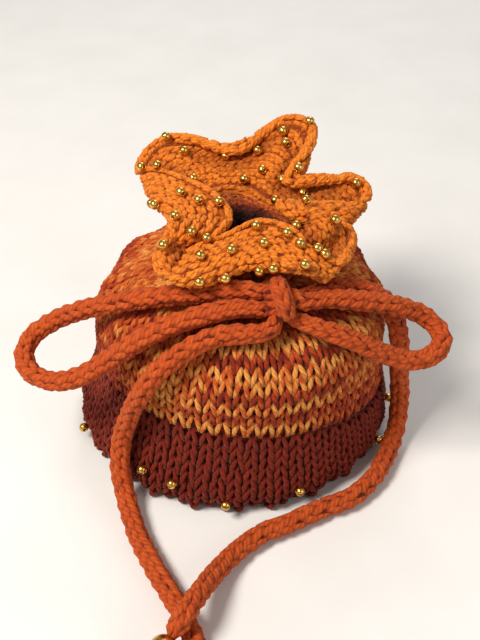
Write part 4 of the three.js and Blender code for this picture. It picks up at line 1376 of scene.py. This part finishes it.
def throat_point(turn, share, out):
    """A point of the fabric in the neck. Share runs from the neck's edge down to its end."""
    angle = turn * TURN
    steps = np.linspace(0, 1, len(THROAT_LINE) + 1)
    radius = np.interp(share, steps[1:], THROAT_LINE[:, 0])
    height = np.interp(share, steps, [RUFFLE_START + THROAT_LIFT, *THROAT_LINE[:, 1]])
    first = np.clip(1 - share / steps[1], 0, 1)
    radius = radius + (wall_radius(angle) - THROAT_START - radius) * first
    radius += PLEAT_DEPTH * np.cos(PLEATS * angle) * (1 - first)
    down = smooth_share(share, *THROAT_TURN)
    return around_neck(angle, radius - out * down, height + out * (1 - down))


turn, row, out, _ = knit_in_rounds(THROAT_COUNTS, garter_loop, RUFFLE_UNEVEN)
# Painted shade down the throat: the light falls from the neck's edge down and sets both the dye and the
# painted light of each stitch.
light = 1 - smooth_share(risen(row), 0, THROAT_DARK)
front = painted_light_both_faces(out) * (THROAT_LEAST_LIGHT + (1 - THROAT_LEAST_LIGHT) * light)
strand = (throat_point(turn, risen(row), THROAT_DEPTH * out), THROAT_YARN, light, front)
yarn_piece("throat_stitches", [strand], "shaded_yarn", "bag")
fabric_ring("throat_lining", lining_of(throat_point, *THROAT_LINING), *THROAT_CELLS, "shaded_lining",
            "bag")

# %% [markdown]
# ## Beads
# Small gold beads are sewn along the base edge and over the ruffle, and a large one ends each tail
# of the cord. A bead is a round with its two ends cut off and a hole through it, so its section is
# spun once round the hole. A bead on the ruffle is placed by its turn, its rise and its side.

# %% Gold
GOLD_WEAR, GOLD_FINE = 260.0, 1560.0
GOLD_STOPS = ((0.3, 196, 146, 62), (0.6, 232, 188, 98))
GOLD_ROUGH, GOLD_BUMP = (0.16, 0.34), (0.25, 0.1 * MM)


def gold_material(name):
    nodes = Nodes(name)
    wear = nodes.noise(nodes.place, GOLD_WEAR, 3.0)
    fine = nodes.noise(nodes.place, GOLD_FINE)
    colour = nodes.ramp(wear, *GOLD_STOPS)
    return nodes.surface(colour, fine, GOLD_ROUGH, wear, GOLD_BUMP, {"Metallic": 1.0})


looks["gold_bead"] = gold_material("gold_bead")
print("bead finish: gold_bead")

# %% Turn a bead
SMALL_BEAD = (1.5, 0.5, 2.5)
SMALL_BEAD_STEPS = (14, 6)
LIP_HEIGHTS, LIP_FLARE = (1.02, 0.98, 0.85), 1.15


def bead_mesh(radius, bore, length, steps, arc):
    """A bead about Z: its section is a bulged side and a straight hole, spun once round."""
    shape = bmesh.new()
    half = length / 2
    reach = math.asin(min(half / radius, 1))
    section = [(radius * math.cos(a), radius * math.sin(a)) for a in np.linspace(-reach, reach, arc)]
    lip = [(x, half * share) for x, share in
           zip(((section[0][0] + bore) / 2, bore * LIP_FLARE, bore), LIP_HEIGHTS)]
    section += lip + [(x, -z) for x, z in lip[::-1]]
    verts = [shape.verts.new((x * MM, 0, z * MM)) for x, z in section]
    edges = [shape.edges.new((a, b)) for a, b in zip(verts, verts[1:] + verts[:1])]
    bmesh.ops.spin(shape, geom=verts + edges, cent=(0, 0, 0), axis=(0, 0, 1), dvec=(0, 0, 0),
                   angle=TURN, steps=steps, use_merge=True)
    return closed_mesh(shape, bpy.data.meshes.new("bead"))


def bead_piece(name, bead, places, body, stands_for):
    """Copies of a bead, each with its centre in mm and its hole along an axis, as one piece."""
    shape = bmesh.new()
    for centre, axis in places:
        turned = Vector((0, 0, 1)).rotation_difference(Vector(axis)).to_matrix().to_4x4()
        before = len(shape.verts)
        shape.from_mesh(bead)
        shape.verts.ensure_lookup_table()
        move = Matrix.Translation(Vector(centre) * MM) @ turned
        bmesh.ops.transform(shape, matrix=move, verts=shape.verts[before:])
    mesh = bpy.data.meshes.new(name)
    shape.to_mesh(mesh)
    shape.free()
    return put(name, mesh, "gold_bead", body, stands_for)


def middle_of(node):
    low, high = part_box(node)
    return (low + high) / 2 / MM


# %% Beads along the bottom edge
EDGE_BEADS = 16
BEAD_SINK = 0.8

small_bead = bead_mesh(*SMALL_BEAD, *SMALL_BEAD_STEPS)
places = []
for k in range(EDGE_BEADS):
    centre = middle_of(f"edge_bead_{k + 1}")
    inward = Vector((-centre.x, -centre.y, 0)).normalized()
    places.append((centre + inward * BEAD_SINK, (-centre.y, centre.x, 0)))
bead_piece("edge_beads", small_bead, places, "bag", [f"edge_bead_{k + 1}" for k in range(EDGE_BEADS)])

# %% Beads on the ruffle
BEAD_STAND = FABRIC / 2 + SMALL_BEAD[0] * 0.7
BEAD_NEXT = 0.004
RUFFLE_BEADS = [
    (0.397, 0.97, -1), (0.385, 0.72, -1), (0.325, 0.56, -1), (0.231, 0.28, -1), (0.25, 0.78, -1),
    (0.228, 1, -1), (0.537, 0.7, 1), (0.558, 0.78, 1), (0.601, 0.76, 1), (0.518, 0.48, 1),
    (0.691, 0.72, 1), (0.723, 0.64, 1), (0.739, 0.9, 1), (0.755, 0.64, 1), (0.77, 0.88, 1),
    (0.8, 0.91, 1), (0.809, 0.604, 1), (0.782, 0.46, 1), (0.079, 0.91, -1), (0.917, 0.66, -1),
    (0.478, 1, 1), (0.921, 0.18, -1), (0.401, 0.25, -1),
]
MORE_BEADS = [
    (0.462, 1.0, 1), (0.276, 0.12, -1), (0.273, 0.54, -1), (0.231, 0.66, -1), (0.169, 0.97, 1),
    (0.2, 0.31, -1), (0.563, 0.94, 1), (0.588, 0.54, 1), (0.691, 0.94, 1), (0.622, 0.51, -1),
    (0.691, 0.48, 1), (0.716, 0.4, 1), (0.765, 0.38, 1), (0.786, 0.84, 1), (0.81, 0.94, 1),
    (0.106, 0.24, -1), (0.145, 0.02, -1), (0.945, 0.76, 1), (0.02, 0.4, 1), (0.06, 0.85, 1),
    (0.13, 0.55, 1), (0.2, 0.75, 1), (0.26, 0.6, 1), (0.3, 0.8, 1), (0.36, 0.65, 1), (0.42, 0.8, 1),
    (0.46, 0.55, 1),
]

places = []
for turn, rise, face in RUFFLE_BEADS + MORE_BEADS:
    along = ruffle_point(turn + BEAD_NEXT, rise, 0)[0] - ruffle_point(turn, rise, 0)[0]
    places.append((ruffle_point(turn, rise, face * BEAD_STAND)[0], along))
ruffle_beads = bead_piece("ruffle_beads", small_bead, places, "bag",
                          [f"ruffle_bead_{k + 1}" for k in range(len(RUFFLE_BEADS))])

# %% Beads and threads at the ends of the cord
END_BEAD = (4.0, 1.35, 7.2)
STOPPER = (2.0, 1.35, 2.6)
END_BEAD_STEPS = (40, 20)
THREAD_OVER = 1.0
THREAD_POINTS = 40
THREAD_TWIST = 9
PLY_REACH = 0.42
PLY_RADIUS = 0.5


def end_thread(side, stopper, axis):
    """Two plies twisted round the middle of the frame's thread, a little past the stopper."""
    middle = middle_of(f"{side}_end_thread")
    reach = (stopper - middle).length + THREAD_OVER
    share = np.linspace(-1, 1, THREAD_POINTS)[:, None]
    line = np.array(middle) + np.array(axis) * share * reach
    across = np.array(axis.orthogonal().normalized())
    other = np.cross(np.array(axis), across)
    plies = [(line + PLY_REACH * twisted(share * THREAD_TWIST + phase, across, other), PLY_RADIUS,
              MID_TONE, 1.0) for phase in (0, math.pi)]
    return yarn_piece(f"{side}_end_thread_plies", plies, "sewing_thread", "bow", (f"{side}_end_thread",))


end_pieces = {}
for side in ("left", "right"):
    bead, stopper = middle_of(f"{side}_end_bead"), middle_of(f"{side}_stopper_bead")
    axis = (stopper - bead).normalized()
    end_pieces[side] = []
    for label, centre, sizes, body in (("end_bead", bead, END_BEAD, f"{side}_bead"),
                                       ("stopper_bead", stopper, STOPPER, "bow")):
        ball = bead_mesh(*sizes, *END_BEAD_STEPS)
        node = f"{side}_{label}"
        end_pieces[side].append(bead_piece(node + "_ball", ball, [(centre, axis)], body, (node,)))
    end_pieces[side].append(end_thread(side, stopper, axis))

# %% [markdown]
# ## Floor and light
# A plain pale floor and large soft lamps show the stitches without hard shadows. The key light
# comes from the upper left, and a weak fill keeps the folds readable.

# %% Floor
FLOOR_HALF = 1.5
FLOOR_STOPS = ((0.3, 0.78, 0.77, 0.75, 1), (0.7, 0.82, 0.81, 0.79, 1))
FLOOR_GRAIN = 30.0
FLOOR_ROUGH = 0.9

shape = bmesh.new()
bmesh.ops.create_grid(shape, x_segments=1, y_segments=1, size=FLOOR_HALF)
floor_mesh = closed_mesh(shape, bpy.data.meshes.new("floor"))
nodes = Nodes("floor")
nodes.feed(nodes.shader.inputs["Base Color"],
           nodes.ramp(nodes.noise(nodes.place, FLOOR_GRAIN, 3.0), *FLOOR_STOPS))
nodes.feed(nodes.shader.inputs["Roughness"], FLOOR_ROUGH)
floor_mesh.materials.append(nodes.material)
add_object("floor", floor_mesh)

# %% Lamps and world
LIT = (0, -0.01, 0.04)
WARM, SOFT = (1.0, 0.95, 0.88), (1.0, 0.97, 0.94)
LAMPS = {"key": ((-0.35, -0.25, 0.6), 0.25, 5.5, WARM), "fill": ((0.6, -0.4, 0.4), 0.5, 1.2, SOFT),
         "back": ((0.1, 0.6, 0.5), 0.4, 1.4, SOFT)}
SKY, SKY_STRENGTH = (1, 0.98, 0.96, 1), 0.3

for name, (place, size, power, colour) in LAMPS.items():
    data = bpy.data.lights.new(name, "AREA")
    data.shape = "DISK"
    data.size = size
    data.energy = power
    data.color = colour
    lamp = add_object(name, data)
    lamp.location = place
    lamp.rotation_euler = (Vector(LIT) - Vector(place)).to_track_quat("-Z", "Y").to_euler()
world = bpy.data.worlds.new("world")
bpy.context.scene.world = world
world.use_nodes = True
world.node_tree.nodes["Background"].inputs["Color"].default_value = SKY
world.node_tree.nodes["Background"].inputs["Strength"].default_value = SKY_STRENGTH
bpy.context.scene.view_settings.view_transform = "Standard"
print("floor and lamps:", *LAMPS)
